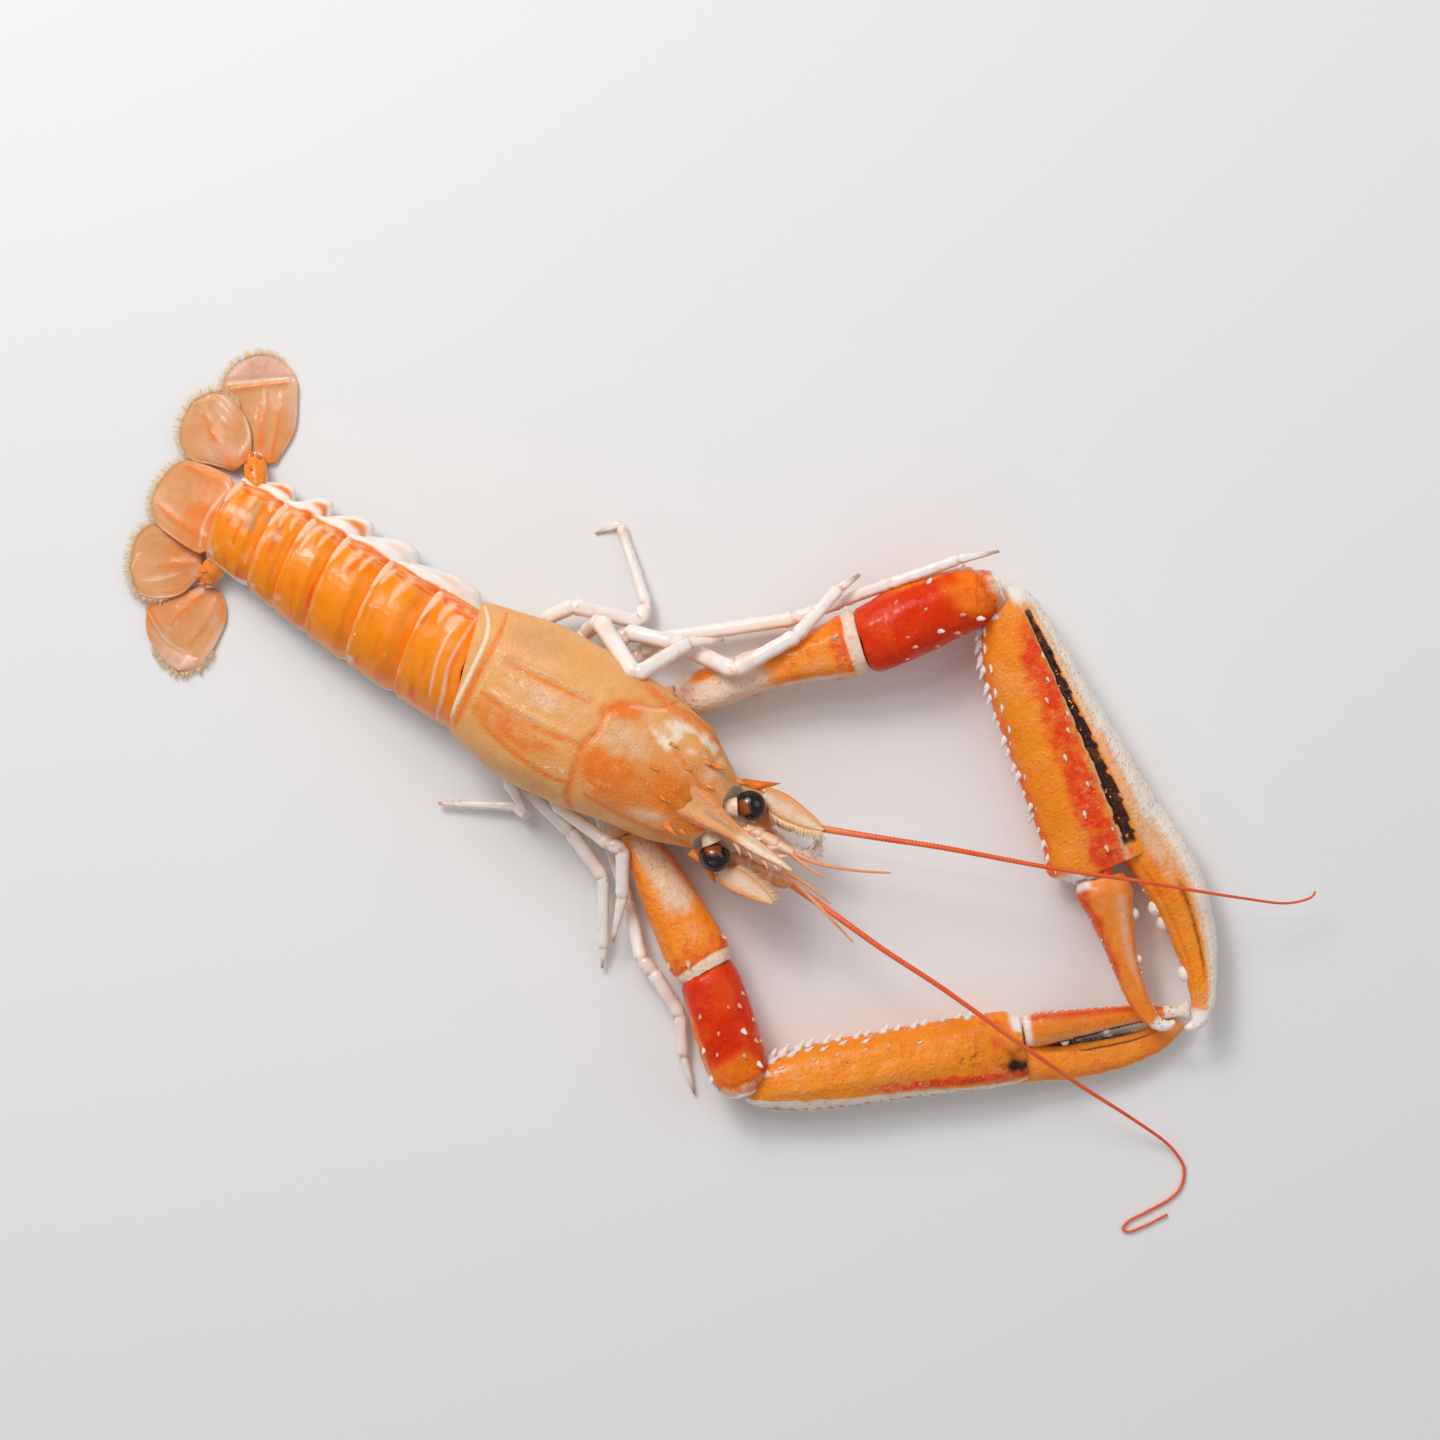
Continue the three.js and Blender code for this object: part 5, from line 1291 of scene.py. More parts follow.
def add_ring(index):
    front = ABDOMEN_JOINTS[index] + (ABDOMEN_LAP if index else 0)
    rear = ABDOMEN_JOINTS[index + 1]
    run = front - rear
    lapped = ABDOMEN_LAP / run if index else 0

    def place(t, turn, reach=1.0):
        back = 1 - t
        x = lerp(front, rear, back)
        step = 0.1 if index else 0.04
        swell = 1 - step + step * smooth(back, lapped * 0.8, lapped + 0.28) - 0.02 * back**4
        side = -1 if turn < 0 else 1
        part = abs(turn) / pi
        reach_side = (ring_left if side > 0 else ring_right)(x) * swell
        height = (ring_top(x) - ring_hem(x)) * swell
        flap = lead = tuck = 0
        arch = min(part / ARCH, 1) * pi / 2
        inward = max(part - ARCH, 0) / (1 - ARCH)
        lower = smooth(part, ARCH * 0.72, ARCH) * (1 - inward)
        if side > 0:
            flap = FLAPS[index] * smooth(back, lapped - 0.04, lapped + FLAP_RISE) * min(1, 1.5 * t)
            lead = FLAP_LEADS[index] * t * t
        else:
            tuck = 1.4 * lower
        y = side * boxy(sin(arch), 0.9) * reach_side * (1 - inward) + flap * lower
        hem = ring_hem(x) - tuck + 0.2 * flap * lower
        z = hem + boxy(cos(arch), 0.8) * height + 2.6 * sin(inward * pi / 2)
        bow = RING_BOW * (1 - cos(arch) * (1 - inward))
        point = Vector((x - ABDOMEN_SKEW * y + bow + lead * lower, y, z))
        if not index and y < 0:
            point.x = min(point.x + 2.6 * t**4 * smooth(-y, 1, 9), -37.65 - CARAPACE_SKEW * y)
        return Vector((x, 0, (ring_top(x) + ring_hem(x)) / 2)).lerp(point, reach)

    # Drawn on the ring laid flat: x runs back from its front, y round it from the middle to the left
    wedges = Strokes(*[
        (1.2 * a, [(f * run, v), (lerp(f, g, 0.5) * run + 0.3, lerp(v, w, 0.5)), (g * run, w)], 1.5 * b)
        for f, g, v, w, a, b in WEDGES[index]
    ])
    rear_wedge = Strokes((1.5, [(run - 0.5, 21), (run - 0.9, 15), (run - 0.5, 6)], 0.5))
    middle, wide = lerp(lapped, 1, 0.46) * run, 3.3
    half = 0.36 * run
    loop = [
        (middle + half * cos(a), 19.4 + wide * sin(a) - 0.1 * half * cos(a))
        for a in (radians(step) for step in range(200, 541, 20))
    ]
    curl = [(middle + 0.7 * half, 18.4), (middle - 0.2 * half, 20.4), (middle - 0.8 * half, 20)]
    swirl = Strokes((0.75, loop), (0.6, curl))
    knob = Vector((lapped * run + 1.6, 22, 0))
    collar = Strokes(
        (0.7, [(4.0, 24), (3.4, 10), (3.8, 0), (3.4, -12), (3.8, -24)]),
        (0.6, [(6.6, 12), (7.4, 4), (6.2, -14)]),
    )

    def flat(t, turn):
        return Vector(((1 - t) * run, turn / pi * ROUND, 0))

    def relief(t, turn, point, facing):
        spot = flat(t, turn)
        back, part = 1 - t, turn / pi
        rise = 0.3 * hump(back, 0.975, 0.04) - 0.2 * hump(back, lapped + 0.16, 0.05) * hump(part, 0, 0.4)
        rise -= 0.2 * wedges.at(spot) + 0.22 * swirl.at(spot)
        rise += 0.5 * hump(part, 0.56, 0.02) - 0.45 * hump(part, 0.5, 0.02) * (index > 0)
        rise += 0.6 * hump((spot - knob).length, 0, 1.5) * (index > 0)
        return rise + 0.16 * uneven(point, 5) + 0.05 * uneven(point, 1.7)

    def paint(t, turn, point, facing):
        spot = flat(t, turn)
        back, part = 1 - t, turn / pi
        wander = uneven(point, 4)
        streak = uneven(Vector((spot.x, spot.y * 0.14, 9 * index)), 1.6)
        coarse = uneven(Vector((spot.x, spot.y * 0.2, 5 + 9 * index)), 4.2)
        # The left side is the lit one: the shoulder patch, the extra pink and pale towards the left and the
        # weaker orange there are partly the rings' own pale pattern, partly painted sheen
        left = smooth(part, 0.06, 0.3)
        shoulder = hump(spot.y, 19, 5) * hump(spot.x, middle, half * 1.1)
        broken = 0.35 + 0.65 * smooth(uneven(point, 5.5), -0.2, 0.3)
        rear_line = hump(spot.x + 0.4 * wander, run - 0.6, 0.75) * broken
        flap = smooth(part + 0.02 * wander, 0.5, 0.54) if index else smooth(part, 0.53, 0.6)
        right_edge = smooth(-part, 0.56, 0.64)
        blot = uneven(point + Vector((40, 0, 0)), 3.2)
        wedge, rear = wedges.at(spot), rear_wedge.at(spot)
        pink = max(0.8 * wedge, 0.6 * shoulder * smooth(blot, -0.4, 0.3), 0.55 * rear_line, rear)
        pink = max(pink, lerp(0.22, 0.4, left) * smooth(streak, 0.12, 0.5), 0.35 * smooth(-part, 0.3, 0.55))
        warm = 0.4 * smooth(coarse, -0.05, 0.4) * (1 - 0.6 * left) + 0.4 * smooth(-streak, 0.1, 0.5)
        knob_mark = hump((spot - knob).length, 0, 1.7) * (index > 0)
        warm = max(warm, swirl.at(spot), knob_mark, 0.5 * hump(back, lapped, 0.05))
        patch = hump(part, 0.585, 0.03) * hump(t, 0.62, 0.25) * (1 if index > 2 else 0.5 * (index > 0))
        # Painted reflection: a pale streak on the right flank of each ring, just before its rear edge
        painted_reflection = 0.62 * hump(spot.x, run - 1.4, 1.3) * hump(part, -0.4, 0.12) * smooth(wander, -0.2, 0.3)
        pale = max(
            flap * (1 - 0.85 * patch), right_edge, 0.4 * rear, rear_line * lerp(0.16, 0.42, left),
            0.5 * collar.at(spot) * (index == 0), 0.24 * wedge**3, painted_reflection,
        )
        warm = max(warm * (1 - flap), 0.45 * patch)
        rearward = max(0, 0.16 * index - 0.2)
        dark = rearward * smooth(uneven(Vector((spot.x, spot.y * 0.3, 30 + index)), 2.6), 0.14, 0.5)
        if index == 5:
            pink = max(pink, 0.36 * smooth(blot, 0.0, 0.4))
            pale = max(pale, 0.8 * smooth(-part, 0.42, 0.52))
        return warm, pink, pale, dark * (1 - pale) * hump(part, 0, 0.45)

    piece = Piece()
    piece.wrap(steps(92), steps(run) + 6, place, paint, relief)
    piece.finish(f"abdomen_{index + 1}", "tail", skin_material("tail shell"))


class LOBSTER_OT_tail_rings(bpy.types.Operator):
    """Model the six tail rings with their side flaps"""

    bl_idname = "lobster.tail_rings"
    bl_label = "Tail rings"

    def execute(self, context):
        for index in range(len(FLAPS)):
            add_ring(index)
        return {"FINISHED"}


# Tail fan

FAN_THICKNESS = 1.3
FAN_FINER = 1 / 0.9  # how much closer than elsewhere the points of its skins lie
RIM_PARTS = 30
BRISTLE_PITCH = 0.34
BLADES = {
    "telson": {
        "from": (-117.4, -0.6, 8.6), "way": (20, -170, -6.2), "thick": 1.9,
        "left": ((0, 9), (0.1, 11), (0.6, 9.4), (0.85, 7.4), (0.96, 4.6), (1, 2.6)),
        "right": ((0, 9), (0.1, 11.4), (0.76, 11.2), (0.92, 8), (1, 3)),
        "ribs": [
            (2.6, [(-119, 7.6), (-126, 8.2), (-134, 6.4)], 0.8),
            (2.4, [(-119, -7.6), (-127, -7.6), (-134, -6.6)], 0.8),
            (2.2, [(-119, 0), (-125, 0)], 1.2),
        ],
        "pale": [(0.7, [(-118.6, 10), (-120.4, 4), (-120.6, -4), (-118.2, -10.4)])],
        "dark": [
            (0.9, [(-133.7, 4.9), (-128, 1.6)]), (0.8, [(-131, -5), (-125, -5.4)]),
            (0.8, [(-125, 6), (-130, 6.6)]),
        ],
        "fringe": (0.8, 0.8), "golden": 0.55,
    },
    "uropod_inner_left": {
        "from": (-120.6, 15, 3), "way": (22, 158, -0.4), "thick": FAN_THICKNESS,
        "left": ((0, 2.4), (0.25, 7), (0.47, 10.8), (0.78, 8.8), (0.93, 4.6), (1, 1)),
        "right": ((0, 2.4), (0.25, 6.6), (0.5, 8.2), (0.84, 8), (0.96, 5), (1, 1)),
        "ribs": [(0.5, [(-138, 21.6), (-130.8, 17.2), (-123, 13.4)], 2.0)],
        "pale": [
            (0.5, [(-139.6, 24.4), (-132, 19.4), (-128, 17)]),
            (0.7, [(-122.6, 16.8), (-123, 22), (-128, 27.6)]),
        ],
        "dark": [(1.2, [(-131, 14.6), (-127, 12.6)])],
        "fringe": (0.45, 0.6), "golden": 0.05,
    },
    "uropod_outer_left": {
        "from": (-115.6, 18.6, 1.2), "way": (30, 125, -0.1), "thick": FAN_THICKNESS,
        "left": ((0, 2), (0.17, 4.6), (0.5, 7.6), (0.76, 10.2), (0.92, 6.6), (0.98, 3), (1, 1)),
        "right": ((0, 2.6), (0.28, 8.2), (0.55, 9.6), (0.78, 9.6), (0.93, 6.8), (0.98, 3.4), (1, 1)),
        "ribs": [
            (1.7, [(-119, 21.6), (-121.4, 26), (-124.6, 32.4)], 0.8),
            (0.9, [(-115.4, 21.4), (-117.4, 27), (-120.4, 34.4)], 0.4),
            (0.7, [(-134.4, 31), (-127.4, 37), (-122, 41.4)]),
        ],
        "pale": [
            (0.5, [(-122, 27.4), (-124.8, 33), (-127, 36)]),
            (0.6, [(-136.1, 31.8), (-130.2, 36.8), (-122.4, 42.4)]),
        ],
        "dark": [(0.4, [(-136.4, 32.3), (-130.4, 37.4), (-123, 43)])],
        "suture": [(0.9, [(-137.4, 31.8), (-130.2, 37.1), (-121.4, 43.2)])],
        "fringe": (0.7, 0.93), "golden": 0.05, "lobe": 0.74,
    },
    "uropod_inner_right": {
        "from": (-116, -13.8, 2.8), "way": (19.8, -145, -0.4), "thick": FAN_THICKNESS,
        "left": ((0, 2.4), (0.3, 8), (0.65, 9.2), (0.9, 7.6), (0.97, 4.6), (1, 1)),
        "right": ((0, 2.4), (0.27, 6.8), (0.51, 11.2), (0.76, 10.6), (0.93, 6.4), (1, 1)),
        "ribs": [(2.0, [(-117.4, -15), (-122.6, -18.6), (-128, -22.2)], 0.5)],
        "pale": [(0.6, [(-119.6, -19.6), (-123.6, -24), (-127, -26.6)])],
        "dark": [(0.9, [(-124, -17.4), (-127.6, -20)])],
        "fringe": (0.5, 0.5), "golden": 0.45,
    },
    "uropod_outer_right": {
        "from": (-109.6, -18.6, 1.2), "way": (24.6, -83, -0.1), "thick": FAN_THICKNESS,
        "left": ((0, 2.4), (0.14, 5.2), (0.31, 6.7), (0.8, 5.8), (0.95, 3), (1, 1)),
        "right": ((0, 2.4), (0.2, 7.6), (0.42, 14), (0.7, 12.4), (0.87, 8.4), (0.97, 3.4), (1, 1)),
        "ribs": [
            (2.0, [(-111.4, -21), (-113.4, -27), (-114.6, -33)], 0.6),
            (1.2, [(-107.4, -21), (-106.6, -28), (-107, -35)], 0.5),
            (0.8, [(-113.6, -35), (-119, -34.6), (-124, -31)], 2.4),
        ],
        "pale": [(0.5, [(-112.8, -27), (-113.6, -34)]), (0.6, [(-122, -33.4), (-113, -37.6), (-104.6, -37)])],
        "dark": [(0.4, [(-122.4, -34), (-113, -38.2), (-104.4, -37.6)])],
        "suture": [(0.9, [(-122.6, -33.6), (-113, -38), (-104, -37.2)])],
        "fringe": (0.62, 0.86), "golden": 0.4, "lobe": 0.8,
    },
}
FAN_BASES = {
    "left": [(-112.6, 10.6, 6.6), (-116.6, 15.6, 5.2), (-119, 19.4, 3.4)],
    "right": [(-110.6, -9.6, 6.4), (-112.4, -14.6, 4.8), (-111.4, -18.4, 3.2)],
}


def add_blade(node, spec):
    rng = random.Random(3)
    thick = along((0, spec["thick"] * 0.6), (0.3, spec["thick"] * 0.5), (1, spec["thick"] * 0.28))

    def wave(point, t, turn):
        point.z += 0.35 * sin(7 * t + 3 * sin(turn)) * t
        return point

    sweep = Sweep(
        Course(*joints(spec["from"], [spec["way"]])), along(*spec["left"]), thick,
        right=along(*spec["right"]), square=0.75, bend=wave,
    )
    ribs, pale_lines, dark_lines = (Strokes(*spec[kind]) for kind in ("ribs", "pale", "dark"))
    suture = Strokes(*spec["suture"]) if "suture" in spec else None
    lobe_at = spec.get("lobe", 2)

    def seam(point):
        return suture.at(point) if suture else 0

    def outer_panel(turn):
        """The pinkish strip along the outer edge of the two outer blades."""
        return smooth(-turn if "left" in node else turn, 0.6, 0.9) if suture else 0

    def relief(t, turn, point, facing):
        if facing.z < 0.2:
            return 0.0
        rim = 0.25 * smooth(abs(sin(turn)), 0.93, 1)
        veins = 0.02 * cos(26 * sin(turn)) * (1 - smooth(t, 0.8, 1))
        shape = 0.35 * ribs.at(point) + 0.15 * pale_lines.at(point) - 0.35 * seam(point)
        return shape + rim + veins + 0.08 * uneven(point, 3)

    def paint(t, turn, point, facing):
        edge = smooth(abs(sin(turn)), 0.95, 1)
        root = 1 - smooth(t, 0.04, 0.2)
        hot = spec["golden"] * (1.2 - smooth(t, 0.2, 0.9)) * (0.9 + 0.5 * uneven(point, 5))
        lobe = smooth(t, lobe_at, lobe_at + 0.06)
        warm = max(0.75 * ribs.at(point), 0.4 * edge * (1 - lobe), 0.6 * root, 0.5 * seam(point), hot)
        panel = 0.6 * outer_panel(turn) * smooth(t, 0.2, 0.4)
        pink = max(0.9 * lobe, 0.5 * smooth(uneven(point, 7), -0.1, 0.5), panel)
        return warm, pink, max(0.5 * pale_lines.at(point), 0.25 * edge), 0.4 * dark_lines.at(point)

    piece = Piece()
    piece.wrap(steps(50 * FAN_FINER), steps(sweep.course.length * FAN_FINER), sweep.place, paint, relief)
    add_fringe(piece, sweep, spec["fringe"], rng)
    piece.finish(node, "fan", skin_material("tail fan"), bristle_material())


def add_fringe(piece, sweep, starts, rng):
    """Bristles round the far edge, from a share of the length on the left and on the right side."""
    shares = [i / RIM_PARTS for i in range(RIM_PARTS + 1)]
    edge = [sweep.place(lerp(starts[0], 1, share), pi / 2) for share in shares]
    edge += [sweep.place(lerp(1, starts[1], share), -pi / 2) for share in shares]
    rim = Course(*edge)
    count = round(rim.length / BRISTLE_PITCH)
    for i in range(count):
        share = (i + 0.5 + rng.uniform(-0.3, 0.3)) / count
        root, ahead = rim.at(share)
        out = Vector((-ahead.y, ahead.x, 0)).normalized()
        if out.dot(root - sweep.course.at(0.4)[0]) < 0:
            out = -out
        lean = 0.9 * uneven(root + Vector((60, 0, 0)), 1.5)
        aim = out + sweep.course.at(1)[1] * 0.35 + ahead * lean + Vector((0, 0, rng.uniform(-0.1, 0.08)))
        size = rng.uniform(0.72, 1.05) * (0.55 + 0.45 * sin(pi * share) ** 0.5)
        piece.hair(root - out * 0.3, aim, millimetres("fringe") * size, millimetres("bristle") * 2.6)


def add_fan_base(side, points):
    piece = Piece()
    girth = along((0, 2.6), (0.4, 3.2), (0.8, 2.8), (1, 1.8))
    high = along((0, 2.2), (0.5, 2.4), (1, 1.4))
    sweep = Sweep(Course(*points), girth, high)

    def paint(t, turn, point, facing):
        return 0.3, 0.2, max(0.7 * smooth(t, 0.85, 1), 0.7 * hump(abs(turn), 1.5, 0.25)), 0

    def relief(t, turn, point, facing):
        return 0.3 * hump(turn, 0, 0.3) + 0.2 * uneven(point, 2)

    piece.wrap(48, 30, sweep.place, paint, relief)
    outer = OUTER[side]
    for t, turn in ((0.55, 0.2), (0.75, 0.9), (0.85, -0.4), (0.92, 0.3)):
        foot = sweep.place(t, turn * outer, 0.95)
        piece.spike(foot, (-0.8, 0.5 * outer, 0.25), 2.4, 0.8, (0.5, 0.3, 0, 0))
    piece.finish(f"uropod_base_{side}", "claw", skin_material("claw shell"))


class LOBSTER_OT_tail_fan(bpy.types.Operator):
    """Model the tail fan: the telson, the four blades with their bristles, and their bases"""

    bl_idname = "lobster.tail_fan"
    bl_label = "Tail fan"

    def execute(self, context):
        for node, spec in BLADES.items():
            add_blade(node, spec)
        for side, points in FAN_BASES.items():
            add_fan_base(side, points)
        return {"FINISHED"}


# Claws

CLAWS = {
    "left": {
        "hip": (10.5, 13, 6.2),
        "segments": [(12, 58, 1.8), (52.7, 48.3, 8), (40.6, 54.6, 0)],
        "merus": {
            "left": ((0, 4.4), (0.1, 6.4), (0.45, 7.8), (0.8, 8.6), (0.97, 10.6), (1, 9.6)),
            "right": ((0, 4), (0.1, 5.4), (0.45, 4.4), (0.7, 5.4), (0.93, 7.6), (1, 6.4)),
            "high": ((0, 4), (0.1, 6.2), (0.8, 7.6), (1, 7)),
        },
        "carpus": {
            "left": ((0, 8.6), (0.1, 10.2), (0.35, 11.6), (0.8, 9.6), (0.97, 5.6), (1, 4.6)),
            "right": ((0, 6.3), (0.1, 8.6), (0.5, 8.2), (0.85, 7), (0.97, 4.4), (1, 3.6)),
            "high": ((0, 6.9), (0.12, 9), (0.5, 9.8), (0.85, 8.4), (1, 5.4)),
        },
    },
    "right": {
        "hip": (17.5, -9.5, 6.2),
        "segments": [(9.4, -44, 1.8), (43.4, -27.4, 5), (35.2, -42.6, -1)],
        "merus": {
            "left": ((0, 4.4), (0.12, 6.8), (0.5, 8.2), (0.9, 8.4), (1, 7)),
            "right": ((0, 2.4), (0.12, 3.4), (0.4, 6.1), (0.7, 8.2), (0.93, 9), (1, 7.6)),
            "high": ((0, 4), (0.12, 6), (0.8, 7.4), (1, 6.6)),
        },
        "carpus": {
            "left": ((0, 6.8), (0.1, 7.8), (0.5, 8.8), (0.84, 8.2), (0.97, 4.4), (1, 3.6)),
            "right": ((0, 7.2), (0.1, 8.3), (0.5, 8.6), (0.85, 7.4), (0.97, 5), (1, 4)),
            "high": ((0, 6.5), (0.12, 8), (0.5, 8.6), (0.85, 7.4), (1, 5)),
        },
    },
}
PALMS = {
    "left": {
        "from": (74.6, 94.6, 10.6), "to": (142, 47.5, 9.9),
        "reach_outer": ((0, 4.4), (0.04, 8), (0.2, 11), (0.45, 13.6), (0.75, 17), (0.97, 18.4), (1, 17.4)),
        "reach_inner": ((0, 4), (0.06, 7), (0.25, 11.6), (0.5, 13.4), (0.85, 15), (0.95, 16.6), (1, 12.8)),
        "high": ((0, 5.6), (0.08, 8.4), (0.4, 10.2), (0.85, 9.4), (1, 7.6)),
        "low": ((0, 5.6), (0.08, 8), (0.35, 9.9), (0.8, 9.4), (1, 8)),
        "finger": [
            (132, 62.6, 9.4), (148.4, 57.4, 9.6), (160.4, 51, 9.8), (170.6, 42.8, 10.2), (177.8, 35.2, 10.8),
            (182.8, 28, 11.6), (184.2, 22.6, 12.3), (182.4, 19.2, 12.8),
        ],
        "finger_girth": ((0, 9.2), (0.25, 8.8), (0.45, 7.8), (0.62, 6.2), (0.76, 4.4), (0.9, 2.9), (1, 0.7)),
        "finger_high": ((0, 8), (0.3, 7.4), (0.6, 5.4), (0.9, 2.8), (1, 0.7)),
        "tubercles": 18, "tubercle_size": 1.0, "teeth": [(0.37, 1.0), (0.46, 2.4), (0.53, 2.2), (0.75, 2.4)],
    },
    "right": {
        "from": (88.2, -58.6, 8), "to": (147.5, -8.3, 7.8),
        "reach_outer": ((0, 3.6), (0.06, 6), (0.25, 8.4), (0.6, 9.2), (0.9, 10), (1, 9.4)),
        "reach_inner": ((0, 3.6), (0.06, 6.2), (0.25, 8.8), (0.6, 9.8), (0.95, 10), (1, 8.6)),
        "high": ((0, 4.6), (0.08, 6.8), (0.4, 8), (0.85, 7.6), (1, 6.2)),
        "low": ((0, 4.6), (0.08, 6.6), (0.35, 7.7), (0.8, 7.6), (1, 6.6)),
        "finger": [
            (143.2, -17.2, 6.6), (152, -11, 6.2), (161.5, -4.6, 5.6), (170.6, 3.4, 5), (177.6, 11.8, 4.5),
            (180.4, 19, 4.1), (180.6, 26.4, 3.7),
        ],
        "finger_girth": ((0, 5.8), (0.3, 5.2), (0.6, 4.3), (0.85, 3), (0.94, 2.2), (1, 0.7)),
        "finger_high": ((0, 5.6), (0.3, 5), (0.6, 3.8), (0.9, 2.4), (1, 0.7)),
        "tubercles": 16, "tubercle_size": 0.8, "teeth": [(0.4, 1.2), (0.55, 1.4), (0.68, 1)],
    },
}
LEFT_FINGER_END = ((0.41, 4.3), (0.6, 3.4), (0.78, 2.6), (0.92, 1.7), (1, 0.6))
FINGERS = {
    "left": {
        "path": [
            (141.2, 42.6, 11.2), (148.4, 35.9, 12), (155.4, 29, 12.8), (161.9, 23.4, 13.4), (167.7, 19.2, 14),
            (171.7, 17.2, 14.3), (175.4, 16.6, 14.4), (177.6, 17.8, 14.4), (178.6, 19.6, 14.2),
        ],
        "inner": ((0, 6.4), (0.1, 7.4), (0.2, 6.3), *LEFT_FINGER_END),
        "outer": ((0, 7.2), (0.08, 8), (0.2, 6.4), *LEFT_FINGER_END),
        "high": ((0, 5), (0.1, 6.4), (0.35, 5.2), (0.6, 3.4), (0.85, 2.2), (1, 0.6)),
    },
    "right": {
        "path": [
            (145.2, -4.6, 9.2), (155, 3.6, 9.2), (163.5, 11, 9), (172, 17.6, 8.7), (177.4, 21.4, 8.5),
            (180.6, 22.6, 8.2),
        ],
        "inner": ((0, 4.4), (0.12, 4.8), (0.4, 3.8), (0.7, 2.4), (0.9, 1.6), (1, 0.6)),
        "outer": ((0, 4), (0.12, 4.6), (0.4, 3.6), (0.7, 2.4), (0.9, 1.6), (1, 0.6)),
        "high": ((0, 4), (0.12, 5.4), (0.4, 3.8), (0.7, 2.6), (0.9, 1.6), (1, 0.6)),
    },
}
RIDGE_TURN = radians(20)
EDGE_TURN = radians(84)
WHITE_TUBERCLE = (0, 0.35, 0.95, 0)
SMALL_TUBERCLE = (0.2, 0.5, 0.55, 0)
TOOTH = (0, 0.6, 0.7, 0)
FINE_TEETH = 22

# Spines of a wrist: how many degrees round and how far along it each stands, and its size
WRIST_SPINES = (
    (-62, 0.22, 0.5), (-40, 0.3, 0.6), (-66, 0.44, 0.55), (-30, 0.5, 0.7), (-52, 0.6, 0.6), (-76, 0.62, 0.5),
    (-12, 0.28, 0.45), (-14, 0.68, 0.6), (12, 0.46, 0.5), (26, 0.62, 0.45), (38, 0.3, 0.5), (54, 0.56, 0.7),
    (-40, 0.78, 0.8), (66, 0.8, 0.8), (-78, 0.88, 1.2),
)
# The two knobs at the left palm's hinge: place, radius and masks
HINGE_KNOBS = (((140.8, 45, 15.4), 1.7, (1, 0, 0, 0)), ((137.6, 41.6, 14.6), 1.5, TOOTH))


def groove_turn(t):
    """How far round the palm its groove runs, from the wrist to the fingers."""
    return lerp(0.54, 0.27, t)


def add_hip(side, base, knee):
    piece = Piece()
    round_girth = along((0, 3.6), (0.2, 5), (0.8, 5.4), (1, 4.6))
    sweep = Sweep(Course(base, knee), round_girth, round_girth)

    def paint(t, turn, point, facing):
        return smooth(t, 0.5, 1) * 0.7, 0.4, 0, 0

    piece.wrap(48, 26, sweep.place, paint, lambda t, turn, point, facing: 0.2 * uneven(point, 3))
    piece.finish(f"claw_{side}_ischium", "pale", skin_material("pale skin"))


def add_arm(side, shape, knee, elbow):
    rng = random.Random(17)
    piece = Piece()
    outer = OUTER[side]
    sweep = limb(Course(knee, elbow), shape)
    creamy = side == "left"

    def relief(t, turn, point, facing):
        rise = 0.3 * hump(turn * outer, 0.5, 0.2) * (1 - smooth(t, 0.85, 0.93)) - 0.35 * hump(t, 0.93, 0.012)
        return rise + 0.3 * uneven(point, 6) + 0.1 * uneven(point, 2)

    def paint(t, turn, point, facing):
        v = turn * outer
        wander = 0.05 * uneven(point, 6)
        blot = uneven(point, 2.6)
        if creamy:
            orange = smooth(t + wander, 0.38, 0.6) * (1 - smooth(-v + 3 * wander, 0.7, 1.05))
            spot, far = hump(t, 0.17, 0.08) * smooth(v, 0.2, 0.6), 0.5 * smooth(t + wander, 0.75, 0.9)
            orange = max(orange, spot, far)
        else:
            orange = 1 - hump(v, -0.45, 0.65) * (1 - smooth(t + wander, 0.5, 0.72))
        mouth = max(smooth(t + 0.2 * wander, 0.915, 0.94), 0.6 * (1 - smooth(t, 0.0, 0.05)))
        pinkish = 0.35 * hump(t, 0.74, 0.12) * hump(v, -0.2, 0.4)
        warm = orange * (0.2 + 0.25 * smooth(blot, 0, 0.5) + 0.3 * smooth(t, 0.8, 0.92))
        pale = max(0.4 * mouth, 0.45 * (1 - orange) * creamy)
        return warm, max(1 - orange, pinkish, mouth), pale, 0.2 * mouth

    piece.wrap(steps(46), steps(sweep.course.length), sweep.place, paint, relief)
    for turn, t in ((-84, 0.4), (-80, 0.84), (24, 0.88)) if creamy else ((-80, 0.86), (20, 0.9), (70, 0.84)):
        foot = sweep.place(t, radians(turn) * outer, 0.97)
        middle, ahead = sweep.course.at(t)
        piece.spike(foot, (foot - middle).normalized() * 0.8 + ahead, 2.2, 1.0, (0.2, 0.4, 0.4, 0), sides=10)
    add_claw_grains(piece, sweep, rng, 90)
    piece.finish(f"claw_{side}_merus", "claw", skin_material("claw shell"))


